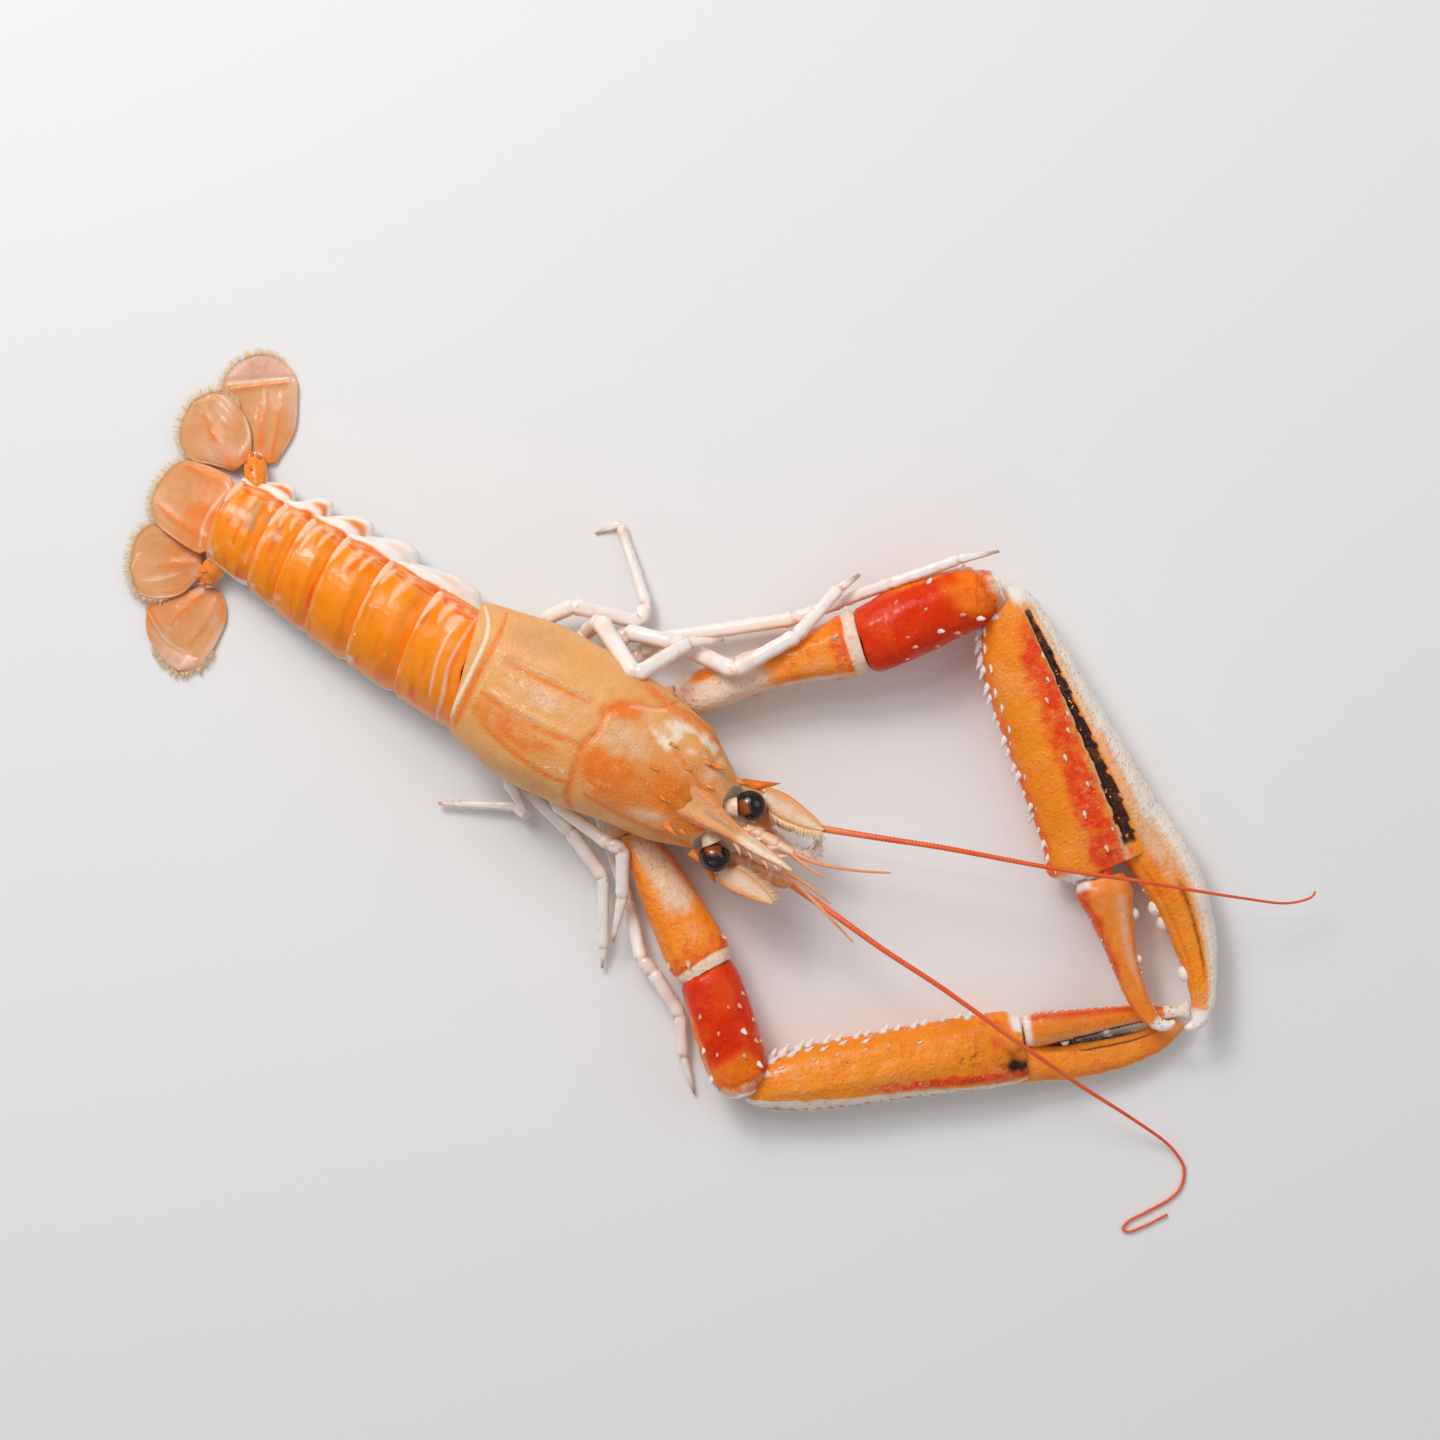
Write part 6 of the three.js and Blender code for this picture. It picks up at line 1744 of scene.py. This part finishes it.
def add_wrist(side, shape, knee, elbow, end):
    along_arm = (elbow - knee).normalized()
    rng = random.Random(19)
    piece = Piece()
    outer = OUTER[side]

    def fitted(point, t, turn):
        """The point moved back to the arm's end, where the bend between them opens a gap."""
        gap = (point - elbow).dot(along_arm) - 0.3
        return point - along_arm * max(gap, 0) * (1 - smooth(t, 0, 0.16))

    sweep = limb(Course(elbow, end), shape, bend=fitted)

    def relief(t, turn, point, facing):
        rise = 0.25 * hump(turn * outer, RIDGE_TURN, 0.2) - 0.4 * hump(t, 0.9, 0.02)
        return rise + 0.4 * uneven(point, 5) + 0.14 * uneven(point, 1.8)

    def paint(t, turn, point, facing):
        v = turn * outer
        wander = 0.1 * uneven(point, 5)
        edge = smooth(v + 2 * wander, 0.75, 1.2) * smooth(t, 0.15, 0.4)
        far = smooth(t + wander, 0.5, 0.86) * smooth(v + 1.4, 0, 1.2)
        orange = max(far, edge, 0.3 * smooth(uneven(point, 8), -0.1, 0.5))
        cream = max(0.7 * smooth(t + wander, 0.86, 0.98), 0.5 * edge * smooth(t, 0.4, 0.8))
        return orange, cream, 0.8 * smooth(t, 0.965, 0.985), 0

    piece.wrap(steps(58), steps(sweep.course.length), sweep.place, paint, relief)
    for turn, t, size in WRIST_SPINES:
        foot = sweep.place(t, radians(turn + rng.uniform(-5, 5)) * outer, 0.98)
        middle, ahead = sweep.course.at(t)
        aim = (foot - middle).normalized() + ahead * 0.9
        marks = (0.3, 0.5, 0.85 if size > 0.65 else 0.25, 0)
        piece.spike(foot, aim, 2.6 * size, 1.25 * size, marks, sides=14, tip=0.35)
    add_claw_grains(piece, sweep, rng, 60)
    piece.finish(f"claw_{side}_carpus", "wrist", skin_material("wrist shell"))


def add_palm(side, spec):
    rng = random.Random(23)
    piece = Piece()
    outer = OUTER[side]
    grooved = outer > 0
    reaches = [along(*spec["reach_outer"]), along(*spec["reach_inner"])]
    left, right = reaches if grooved else reversed(reaches)

    def section_relief(t, turn):
        v = turn * outer
        fade = smooth(t, 0.02, 0.2) * (1 - smooth(t, 0.93, 1))
        groove = groove_turn(t)
        rise = 0.08 * hump(v, groove - 0.32, 0.2) - 0.09 * hump(v, groove, 0.14) * grooved
        return fade * (rise + 0.06 * hump(v, -EDGE_TURN, 0.25))

    course = Course(spec["from"], spec["to"])
    high, low = along(*spec["high"]), along(*spec["low"])
    body = Sweep(course, left, high, right=right, bottom=low, square=0.8, relief=section_relief)

    def relief(t, turn, point, facing):
        v = turn * outer
        ragged = groove_turn(t) + 0.05 * uneven(point, 2.4)
        deep = -0.8 * hump(v, ragged, 0.06) * smooth(t, 0.08, 0.2) * (1 - smooth(t, 0.92, 0.96)) * grooved
        return deep + 0.3 * uneven(point, 5) + 0.1 * uneven(point, 1.8)

    def paint(t, turn, point, facing):
        v = turn * outer
        blot, wander = uneven(point, 3), 0.07 * uneven(point, 2.2)
        groove, far = groove_turn(t), smooth(t, 0.94, 0.99)
        golden = 0.25 * smooth(uneven(point, 6), 0, 0.5)
        inner_edge = 0.5 * smooth(-v + wander, 0.9, 1.3)
        if grooved:
            dark = smooth(0.1 - abs(v + 0.7 * wander - groove), -0.03, 0.005)
            dark = dark * smooth(t + 0.1 * blot, 0.08, 0.16) * (1 - smooth(t, 0.93, 0.97))
            ridge = hump(v + wander, groove - 0.36, 0.26) * smooth(t, 0.0, 0.25)
            face = smooth(v - groove, 0.08, 0.2)
            cream = face * (1 - 0.45 * smooth(t + 0.1 * blot, 0.3, 0.65))
            cream = max(cream, 0.6 * hump(v, groove - 0.12, 0.06))
            margin = smooth(v + wander, lerp(0.7, 0.5, t), lerp(0.95, 0.8, t))
            white = max(0.72 * margin, 0.8 * hump(t, 0.03, 0.06) * smooth(v, 0, 0.4))
            white = max(white, far * smooth(-v, 0.5, 0.8))
            warm = max(ridge * (0.8 + 0.5 * blot), golden, inner_edge, hump(t, 0.97, 0.03) * hump(v, 0, 0.3))
            warm *= 1 - face
        else:
            dark = (0.85 + 0.9 * blot) * hump(t, 0.965, 0.045) * hump(v, 0.35, 0.4)
            dark += 0.62 * hump(t, 0.8, 0.06) * hump(v, 0, 0.3) * smooth(uneven(point, 1.4), -0.1, 0.3)
            low_edge = smooth(v + wander, lerp(0.4, 0.9, t), lerp(0.65, 1.2, t))
            cream = 0.8 * low_edge
            white = max(0.6 * low_edge, far * smooth(-v, 0.3, 0.6), 0.4 * hump(t, 0, 0.03))
            red = hump(v + wander, lerp(0.3, 0.72, t), 0.2) * smooth(t, 0.3, 0.55)
            warm = max(red, golden, 0.5 * inner_edge, 0.5 * hump(t, 0.9, 0.1) * smooth(blot, -0.3, 0.3))
        return warm, cream, white, dark

    piece.wrap(steps(76), steps(course.length), body.place, paint, relief)
    add_fixed_finger(piece, outer, spec, rng)
    size = spec["tubercle_size"]
    big = 1.25 * size if grooved else 1.6 * size
    add_row(piece, body, spec["tubercles"], -80 * outer, big, rng, WHITE_TUBERCLE, lean=0.8)
    add_row(piece, body, 6, -60 * outer, 0.7 * big, rng, WHITE_TUBERCLE, last=0.5)
    add_row(piece, body, 9, -70 * outer, 0.55 * size, rng, SMALL_TUBERCLE, last=1.2, offset=3)
    if grooved:
        for step, share in enumerate((0.26, 0.34, 0.4, 0.47, 0.52, 0.6, 0.66, 0.71, 0.8, 0.88, 0.93)):
            turn = groove_turn(share) - (0.2, 0.3, 0.42)[step % 3]
            add_tubercle(piece, body, share, turn, rng.uniform(0.4, 0.75), SMALL_TUBERCLE)
    else:
        add_row(piece, body, 8, -34 * outer, 0.5, rng, SMALL_TUBERCLE, offset=0.3)
        add_row(piece, body, 18, 70 * outer, 0.5, rng, (0.6, 0.4, 0.2, 0))
        add_row(piece, body, 20, 88 * outer, 0.75, rng, (0, 0.7, 0.7, 0))
    add_claw_grains(piece, body, rng, 380)
    if grooved:
        for place, radius, marks in HINGE_KNOBS:
            piece.bead(place, radius, marks=marks, fine=3)
    piece.finish(f"claw_{side}_palm", "claw", skin_material("claw shell"))


def add_fixed_finger(piece, outer, spec, rng):
    course = Course(*spec["finger"])
    girth = along(*spec["finger_girth"])
    left = outer > 0

    def towards_finger(t):
        """The right claw's fixed finger lies closer to the moving one."""
        return girth(t) + (0 if left else 0.9 * hump(t, 0.55, 0.25))

    sweep = Sweep(course, towards_finger, along(*spec["finger_high"]), right=girth)

    def relief(t, turn, point, facing):
        v = turn * outer
        line = -0.35 * hump(v, -0.75, 0.12) + 0.2 * hump(v, -0.45, 0.16)
        return line * (1 - smooth(t, 0.8, 0.92)) + 0.25 * uneven(point, 4) + 0.08 * uneven(point, 1.5)

    def paint(t, turn, point, facing):
        v = turn * outer
        wander = 0.08 * uneven(point, 5)
        tip = smooth(t, 0.87, 0.93)
        margin = smooth(v + wander, 0.12, 0.36) if left else smooth(v + wander, 0.95, 1.3)
        streak = hump(v + wander, 0.06 if left else -0.5, 0.1) * smooth(t, 0.3, 0.45)
        streak *= (0.6 if left else 0.75) * (1 - smooth(t, 0.7, 0.85))
        root = 0.6 * smooth(v, -0.5, 0) * (1 - smooth(t, 0.3, 0.5)) if left else 0.2
        cream = max(0.85 * margin, 0.35 * smooth(t, 0.75, 0.87), root)
        pale = max(tip, 0.66 * smooth(v + wander, 0.28, 0.6) if left else 0.4 * smooth(v + wander, 0.8, 1.2))
        # On the right claw the side that faces the moving finger is darkened: partly a dark groove, partly
        # painted shade of the gap between the fingers
        inside = 0 if left else 0.8 * smooth(-v + wander, 0.85, 1.15) * (1 - smooth(t, 0.6, 0.8))
        return 0.35 * smooth(uneven(point, 5), 0, 0.4), cream, pale, max(streak, inside)

    piece.wrap(steps(44), steps(course.length), sweep.place, paint, relief)
    for t, radius in spec["teeth"]:
        centre = sweep.place(t, radians(-86) * outer, 0.93)
        piece.bead(centre, radius, stretch=0.85, marks=(0, 0.5, 0.9, 0), fine=3)
    add_fine_teeth(piece, sweep, rng, -outer, (0.34, 0.86), 0.5, 0.6, left)


def add_finger(side, spec):
    rng = random.Random(29)
    piece = Piece()
    outer = OUTER[side]
    near, far = along(*spec["inner"]), along(*spec["outer"])
    left, right = (near, far) if outer > 0 else (far, near)
    course = Course(*spec["path"])
    sweep = Sweep(course, left, along(*spec["high"]), right=right)

    def relief(t, turn, point, facing):
        v = turn * outer
        line = 0.25 * hump(v, -0.7, 0.25) * (1 - smooth(t, 0.8, 0.95))
        return line + 0.25 * uneven(point, 4) + 0.08 * uneven(point, 1.5)

    def paint(t, turn, point, facing):
        v = turn * outer
        wander = 0.08 * uneven(point, 5)
        tip = smooth(t, 0.84, 0.9)
        inside = smooth(v + wander, 0.5, 1.2)
        joint = hump(t, 0.02, 0.035)
        if outer > 0:
            red = 0.85 * smooth(-v + 2 * wander, 0.3, 1.0) * (1 - smooth(t, 0.42, 0.66))
            red += 0.25 * smooth(uneven(point, 5), 0, 0.5)
            stripe = 0.5 * hump(v + wander, 0.45, 0.5) * smooth(t, 0.06, 0.16) * (1 - smooth(t, 0.5, 0.8))
            return red, max(0.35 * inside, stripe), max(tip, 0.7 * joint * smooth(-v, 0.2, 0.6)), 0
        red = 0.8 * hump(v + wander, -0.8, 0.5)
        # The side that faces the fixed finger is darkened: partly a dark groove, partly painted shade of the
        # gap between the fingers
        dark = 0.85 * smooth(v + wander, 0.8, 1.1) * smooth(t, 0.06, 0.2) * (1 - smooth(t, 0.7, 0.85))
        return red, 0.4 * smooth(v + wander, 0.1, 0.6), max(tip, 0.7 * joint), dark

    piece.wrap(steps(38), steps(course.length), sweep.place, paint, relief)
    for t, share in ((0.24, 0.3), (0.5, 0.34)):
        centre = sweep.place(t, radians(86) * outer, 0.95)
        piece.bead(centre, near(t) * share, marks=(0, 0.5, 0.8, 0), fine=3)
    add_fine_teeth(piece, sweep, rng, outer, (0.24, 0.84), 0.45, 0.5, outer > 0)
    add_row(piece, sweep, 4 if outer > 0 else 9, -70 * outer, 0.36, rng, SMALL_TUBERCLE, last=0.6)
    add_claw_grains(piece, sweep, rng, 140)
    piece.finish(f"claw_{side}_finger", "finger", skin_material("finger shell"))


def add_fine_teeth(piece, sweep, rng, way, span, biggest, taper, pale):
    """Fine teeth along the side of a finger that faces the other one."""
    for i in range(FINE_TEETH):
        t = lerp(*span, i / (FINE_TEETH - 1))
        size = rng.uniform(0.25, biggest) * (1.1 - taper * t)
        centre = sweep.place(t, radians(82) * way, 0.98)
        piece.bead(centre, size, marks=TOOTH if pale else (0, 0, 0, 0.8))


def add_row(piece, sweep, count, turn, size, rng, marks, offset=0.0, last=0.93, lean=1.5):
    """A row of tubercles that lie forward and outward along a line of the skin."""
    for i in range(count):
        t = lerp(0.1, last, (i + offset + rng.uniform(-0.22, 0.22)) / count)
        grow = rng.uniform(0.7, 1.15) * lerp(1.25, 0.7, t)
        add_tubercle(piece, sweep, t, radians(turn + rng.uniform(-4, 4)), size * grow, marks, lean)


def add_tubercle(piece, sweep, t, turn, size, marks, lean=1.5):
    """One tubercle that lies forward, with a round foot and a blunt tip."""
    radius = millimetres("tubercle") * size
    foot = sweep.place(t, turn, 0.98)
    middle, ahead = sweep.course.at(t)
    aim = (foot - middle).normalized() + ahead * lean
    piece.spike(foot, aim, radius * 3, radius * 0.9, marks, sides=12, sink=0.3, tip=0.2)
    piece.bead(foot, radius * 0.8, aim, 1.4, marks)


def add_claw_grains(piece, sweep, rng, count):
    """Fine grains scattered over the upper side and the flanks."""
    radius = millimetres("granule")
    for _ in range(count):
        t, turn = rng.uniform(0.06, 0.94), radians(rng.uniform(-115, 115))
        foot = sweep.place(t, turn, 0.995)
        size = radius * rng.uniform(0.35, 0.9)
        marks = (0, rng.uniform(0, 0.6), rng.uniform(0, 0.15), 0)
        piece.bead(foot, size, foot - sweep.course.at(t)[0], 0.6, marks, 1)


class LOBSTER_OT_claws(bpy.types.Operator):
    """Model both claws: hip joint, arm, wrist, palm with the fixed finger, and moving finger"""

    bl_idname = "lobster.claws"
    bl_label = "Claws"

    def execute(self, context):
        for side, spec in CLAWS.items():
            base, knee, elbow, end = joints(spec["hip"], spec["segments"])
            add_hip(side, base, knee)
            add_arm(side, spec["merus"], knee, elbow)
            add_wrist(side, spec["carpus"], knee, elbow, end)
            add_palm(side, PALMS[side])
            add_finger(side, FINGERS[side])
        return {"FINISHED"}


# Walking legs: each segment's run, heading, rise and width

LEGS = {
    "leg_left_1": ((0, 13.2, 4.6), [
        (15.6, 88.5, 1, 4.2), (6.9, 63.3, 1.2, 4), (37.1, 40.3, 0, 4.2), (14.3, 51.7, 3.4, 3.8),
        (13.2, 51.4, 9, 3.4), (19.8, 50.8, 4, 3.2), (11.1, 43.3, 0.5, 2.6),
    ]),
    "leg_left_2": ((-7, 13, 4.8), [
        (18.6, 85.6, 4.6, 4.4), (13.4, 18.6, 3, 4.6), (18.4, 6.7, 10, 4.9), (19.3, 61.3, -0.6, 4.4),
        (17.8, 79.6, -5.4, 3.8), (6.6, 65.3, -0.5, 2.8),
    ]),
    "leg_left_3": ((-14.5, 12.8, 4.8), [
        (12.9, 93, 3, 4.4), (4.9, 66.8, 7.8, 4.2), (18.1, -25.3, 15, 4.9), (17.2, 63.6, -9.5, 4.5),
        (9.5, 37.1, -2, 3.1),
    ]),
    "leg_left_4": ((-22, 12.4, 4.8), [
        (11.3, 115.7, 2.8, 4.2), (8.7, 55.7, 2.4, 4.2), (19, 18.5, -4.6, 4.4), (5.3, 103.5, -0.6, 4),
        (23.5, 139.8, -3.6, 3.2), (7.3, -127.3, -0.8, 1.9),
    ]),
    "leg_right_1": ((8, -10.4, 4.2), [
        (33.2, -39.5, -0.8, 3.4), (16.8, -45.1, 3.2, 3.8), (4.4, -14.1, 0, 4), (14.3, -25.9, -1.4, 4),
        (11.6, -55.4, -2.2, 3.4), (10.8, -41.3, -1.5, 2.4),
    ]),
    "leg_right_2": ((0, -11, 5), [
        (8.4, -74, 5.2, 3.8), (19, -4.2, 6.4, 3.8), (3.6, 12, -0.4, 3.8), (13.4, -58.8, -4.4, 3.8),
        (12.6, -70.9, -4, 3.1),
    ]),
    "leg_right_3": ((-8, -11.4, 4.2), [
        (9, -77, 0.4, 3.8), (16.5, -11.5, 3, 4), (15.5, -22.6, 0.6, 4.2), (19.5, -58.7, -4.4, 3.4),
        (5.8, -62.4, -1.6, 2),
    ]),
    "leg_right_4": ((-17, -11.2, 4.8), [
        (10.6, -61, 2.2, 3.8), (10.8, -31, 0.4, 4), (3.8, 169.9, -3.4, 3.8), (21.7, -150.1, -1.6, 3),
    ]),
}
FOLD = 125  # a leg that turns more than this many degrees at a joint starts a new skin there
LEG_STEP = 0.6
BEND_STEPS = 8
NO_JOINT = 99  # the distance to the nearest joint, where there is none
LEG_HAIRS = 70
# The side of the legs that is painted pinker, as painted reflected light bounced from below
PAINTED_BOUNCE_SIDE = Vector((0.53, -0.85, 0))


def limb_stations(places, widths):
    """Stations along a limb, each (place, ahead, girth, distance from the nearest joint)."""
    stations = []
    aims = [(b - a).normalized() for a, b in zip(places, places[1:])]
    last = len(places) - 1

    def add_straight(start, end, ahead, first, second, from_joint, to_joint):
        run = (end - start).length
        count = max(2, round(run / LEG_STEP))
        for i in range(count):
            share = i / count
            away = min(from_joint + run * share, to_joint + run * (1 - share))
            stations.append((start.lerp(end, share), ahead, lerp(first, second, share) / 2, away))

    start, width, away = places[0], widths[0] * 0.8, NO_JOINT
    for i in range(1, last):
        bend = aims[i - 1].angle(aims[i])
        ease = max(widths[i] * 0.56 * tan(bend / 2), widths[i] * 0.2)
        a, b = places[i] - aims[i - 1] * ease, places[i] + aims[i] * ease
        wide = lerp(widths[i - 1], widths[i], 0.35)
        add_straight(start, a, aims[i - 1], width, wide, away, ease)
        for step in range(BEND_STEPS):
            share = step / BEND_STEPS
            arc = a.lerp(places[i], share).lerp(places[i].lerp(b, share), share)
            ahead = aims[i - 1].lerp(aims[i], share).normalized()
            girth = lerp(widths[i - 1], widths[i], 0.35 + 0.65 * share) / 2
            stations.append((arc, ahead, girth, ease * abs(2 * share - 1)))
        start, width, away = b, widths[i], ease
    add_straight(start, places[last], aims[-1], width, widths[-1] * 0.34, away, NO_JOINT)
    stations.append((places[last], aims[-1], widths[-1] * 0.17, NO_JOINT))
    return stations


def add_tube(piece, stations, has_tip):
    rng = random.Random(31)
    rows = len(stations) - 1

    def station(t):
        return stations[min(round(t * rows), rows)]

    def place(t, turn, reach=1.0):
        point, ahead, girth, away = station(t)
        across = Vector((-ahead.y, ahead.x, 0)).normalized()
        up = ahead.cross(across)
        girth *= (1 + 0.08 * hump(away, 1.9, 1.1) - 0.13 * hump(away, 0, 0.6)) * reach
        return point + across * girth * sin(turn) + up * girth * cos(turn) * 0.94

    def relief(t, turn, point, facing):
        return 0.12 * hump(abs(turn), 0.6, 0.25) + 0.1 * uneven(point, 2.4)

    def paint(t, turn, point, facing):
        away = station(t)[3]
        tip = smooth(t, 0.93, 1.0) if has_tip else 0
        spot = smooth(uneven(point, 1.6), -0.1, 0.4)
        warm = max(0.6 * hump(away, 0.5, 1.0) * spot, 0.3 * hump(away, 0, 0.35))
        # Painted reflected light: the side of each leg that faces the bottom of the view is made pinker
        low = smooth(facing.dot(PAINTED_BOUNCE_SIDE), 0.1, 1)
        pink = max(0.5 * smooth(uneven(point, 6), 0.0, 0.5), 0.7 * low)
        return warm, pink, 0, 0.7 * tip + 0.3 * hump(away, 0, 0.2)

    piece.wrap(26, rows, place, paint, relief)
    if has_tip:
        for _ in range(LEG_HAIRS):
            t, turn = rng.uniform(0.72, 0.97), rng.uniform(-pi, pi)
            point, ahead, *_ = station(t)
            root = place(t, turn)
            aim = (root - point).normalized() + ahead * 1.6
            piece.hair(root, aim, rng.uniform(0.6, 1.2), millimetres("bristle") * 0.8)


class LOBSTER_OT_walking_legs(bpy.types.Operator):
    """Model the eight walking legs with their orange joints"""

    bl_idname = "lobster.walking_legs"
    bl_label = "Walking legs"

    def execute(self, context):
        for node, (hip, segments) in LEGS.items():
            piece = Piece()
            places = joints(hip, segments)
            widths = [segment[3] for segment in segments]
            headings = [segment[1] for segment in segments]
            turned = [abs(b - a) % 360 for a, b in zip(headings, headings[1:])]
            folds = [i + 1 for i, turn in enumerate(turned) if min(turn, 360 - turn) > FOLD]
            cuts = [0, *folds, len(segments)]
            for start, end in zip(cuts, cuts[1:]):
                add_tube(piece, limb_stations(places[start : end + 1], widths[start:end]), end == cuts[-1])
            piece.finish(node, "leg", skin_material("leg shell"), bristle_material())
        return {"FINISHED"}


# Stage

CAMERA_HEIGHT = 1200
CAMERA_FIELD = 400  # what the camera sees across, at the height of the floor
CAMERA_OVER = (29.0, 24.4)
CAMERA_TURN = 31.7

# Where each lamp stands as the camera sees it, how wide it is, in metres, and its power in watts
LAMPS = {
    "key": ((-0.35, 0.75, 0.95), 1.0, 6.6),
    "window": ((-0.4, 0.7, 0.95), 0.34, 3.8),
    "side": ((0.9, 0.3, 0.9), 0.9, 1.8),
    "fill": ((-0.2, -0.9, 1.0), 0.9, 0.6),
    "sparkle": ((-0.6, -0.9, 0.8), 0.1, 0.4),
    "glint": ((-0.5, 0.45, 1.4), 0.12, 0.8),
}


def add_floor(scene):
    bm = bmesh.new()
    bmesh.ops.create_grid(bm, x_segments=8, y_segments=8, size=2)
    mesh = bpy.data.meshes.new("floor")
    bm.to_mesh(mesh)
    bm.free()
    material, tree, shader = blank_material("floor")
    shade = mixed(tree, cloud(tree, 2, 2), tint("floor"), lighter(tint("floor"), 0.12))
    feed(tree, shader, {"Base Color": shade, "Roughness": 0.6})
    mesh.materials.append(material)
    floor = bpy.data.objects.new("floor", mesh)
    scene.collection.objects.link(floor)


def add_camera(scene):
    data = bpy.data.cameras.new("camera")
    data.angle = 2 * atan(CAMERA_FIELD / 2 / CAMERA_HEIGHT)
    data.clip_start, data.clip_end = 0.05, 10
    camera = bpy.data.objects.new("camera", data)
    camera.location = Vector((*CAMERA_OVER, CAMERA_HEIGHT)) * MM
    camera.rotation_euler = (0, 0, radians(CAMERA_TURN))
    scene.collection.objects.link(camera)
    scene.camera = camera


def add_lamp(scene, name, place, size, power):
    data = bpy.data.lights.new(name, "AREA")
    data.shape, data.size, data.energy = "DISK", size, power
    lamp = bpy.data.objects.new(name, data)
    lamp.location = place
    lamp.rotation_euler = (-place).to_track_quat("-Z", "Y").to_euler()
    scene.collection.objects.link(lamp)


class LOBSTER_OT_stage(bpy.types.Operator):
    """Set up the pale floor, the soft studio light and the camera straight above"""

    bl_idname = "lobster.stage"
    bl_label = "Stage"

    def execute(self, context):
        scene = context.scene
        add_floor(scene)
        add_camera(scene)
        turn = Matrix.Rotation(radians(CAMERA_TURN), 4, "Z")
        for name, (place, size, power) in LAMPS.items():
            add_lamp(scene, name, turn @ Vector(place), size, power)
        world = bpy.data.worlds.new("studio")
        world.use_nodes = True
        backdrop = world.node_tree.nodes["Background"]
        backdrop.inputs["Color"].default_value = (0.93, 0.95, 1.0, 1)
        backdrop.inputs["Strength"].default_value = 0.33
        scene.world = world
        scene.view_settings.view_transform = "Standard"
        return {"FINISHED"}


# Panel and registration

STEPS = (
    LOBSTER_OT_stage, LOBSTER_OT_thorax, LOBSTER_OT_carapace, LOBSTER_OT_head, LOBSTER_OT_feelers,
    LOBSTER_OT_mouth_legs, LOBSTER_OT_tail_rings, LOBSTER_OT_tail_fan, LOBSTER_OT_claws,
    LOBSTER_OT_walking_legs,
)


class LOBSTER_PT_panel(bpy.types.Panel):
    """The lobster's pieces, sizes and colours"""

    bl_label = "Norway Lobster"
    bl_idname = "LOBSTER_PT_panel"
    bl_space_type = "VIEW_3D"
    bl_region_type = "UI"
    bl_category = "Lobster"

    def draw(self, context):
        for step in STEPS:
            self.layout.operator(step.bl_idname)
        for group in (context.scene.lobster_sizes, context.scene.lobster_colours):
            box = self.layout.box()
            for name in group.bl_rna.properties.keys():
                if name not in ("rna_type", "name"):
                    box.prop(group, name)


CLASSES = (LobsterSizes, LobsterColours, *STEPS, LOBSTER_PT_panel)


def register():
    for cls in CLASSES:
        bpy.utils.register_class(cls)
    bpy.types.Scene.lobster_sizes = PointerProperty(type=LobsterSizes)
    bpy.types.Scene.lobster_colours = PointerProperty(type=LobsterColours)


def unregister():
    del bpy.types.Scene.lobster_colours
    del bpy.types.Scene.lobster_sizes
    for cls in reversed(CLASSES):
        bpy.utils.unregister_class(cls)


def main():
    register()
    for step in STEPS:
        group, name = step.bl_idname.split(".")
        getattr(getattr(bpy.ops, group), name)()


if __name__ == "__main__":
    main()
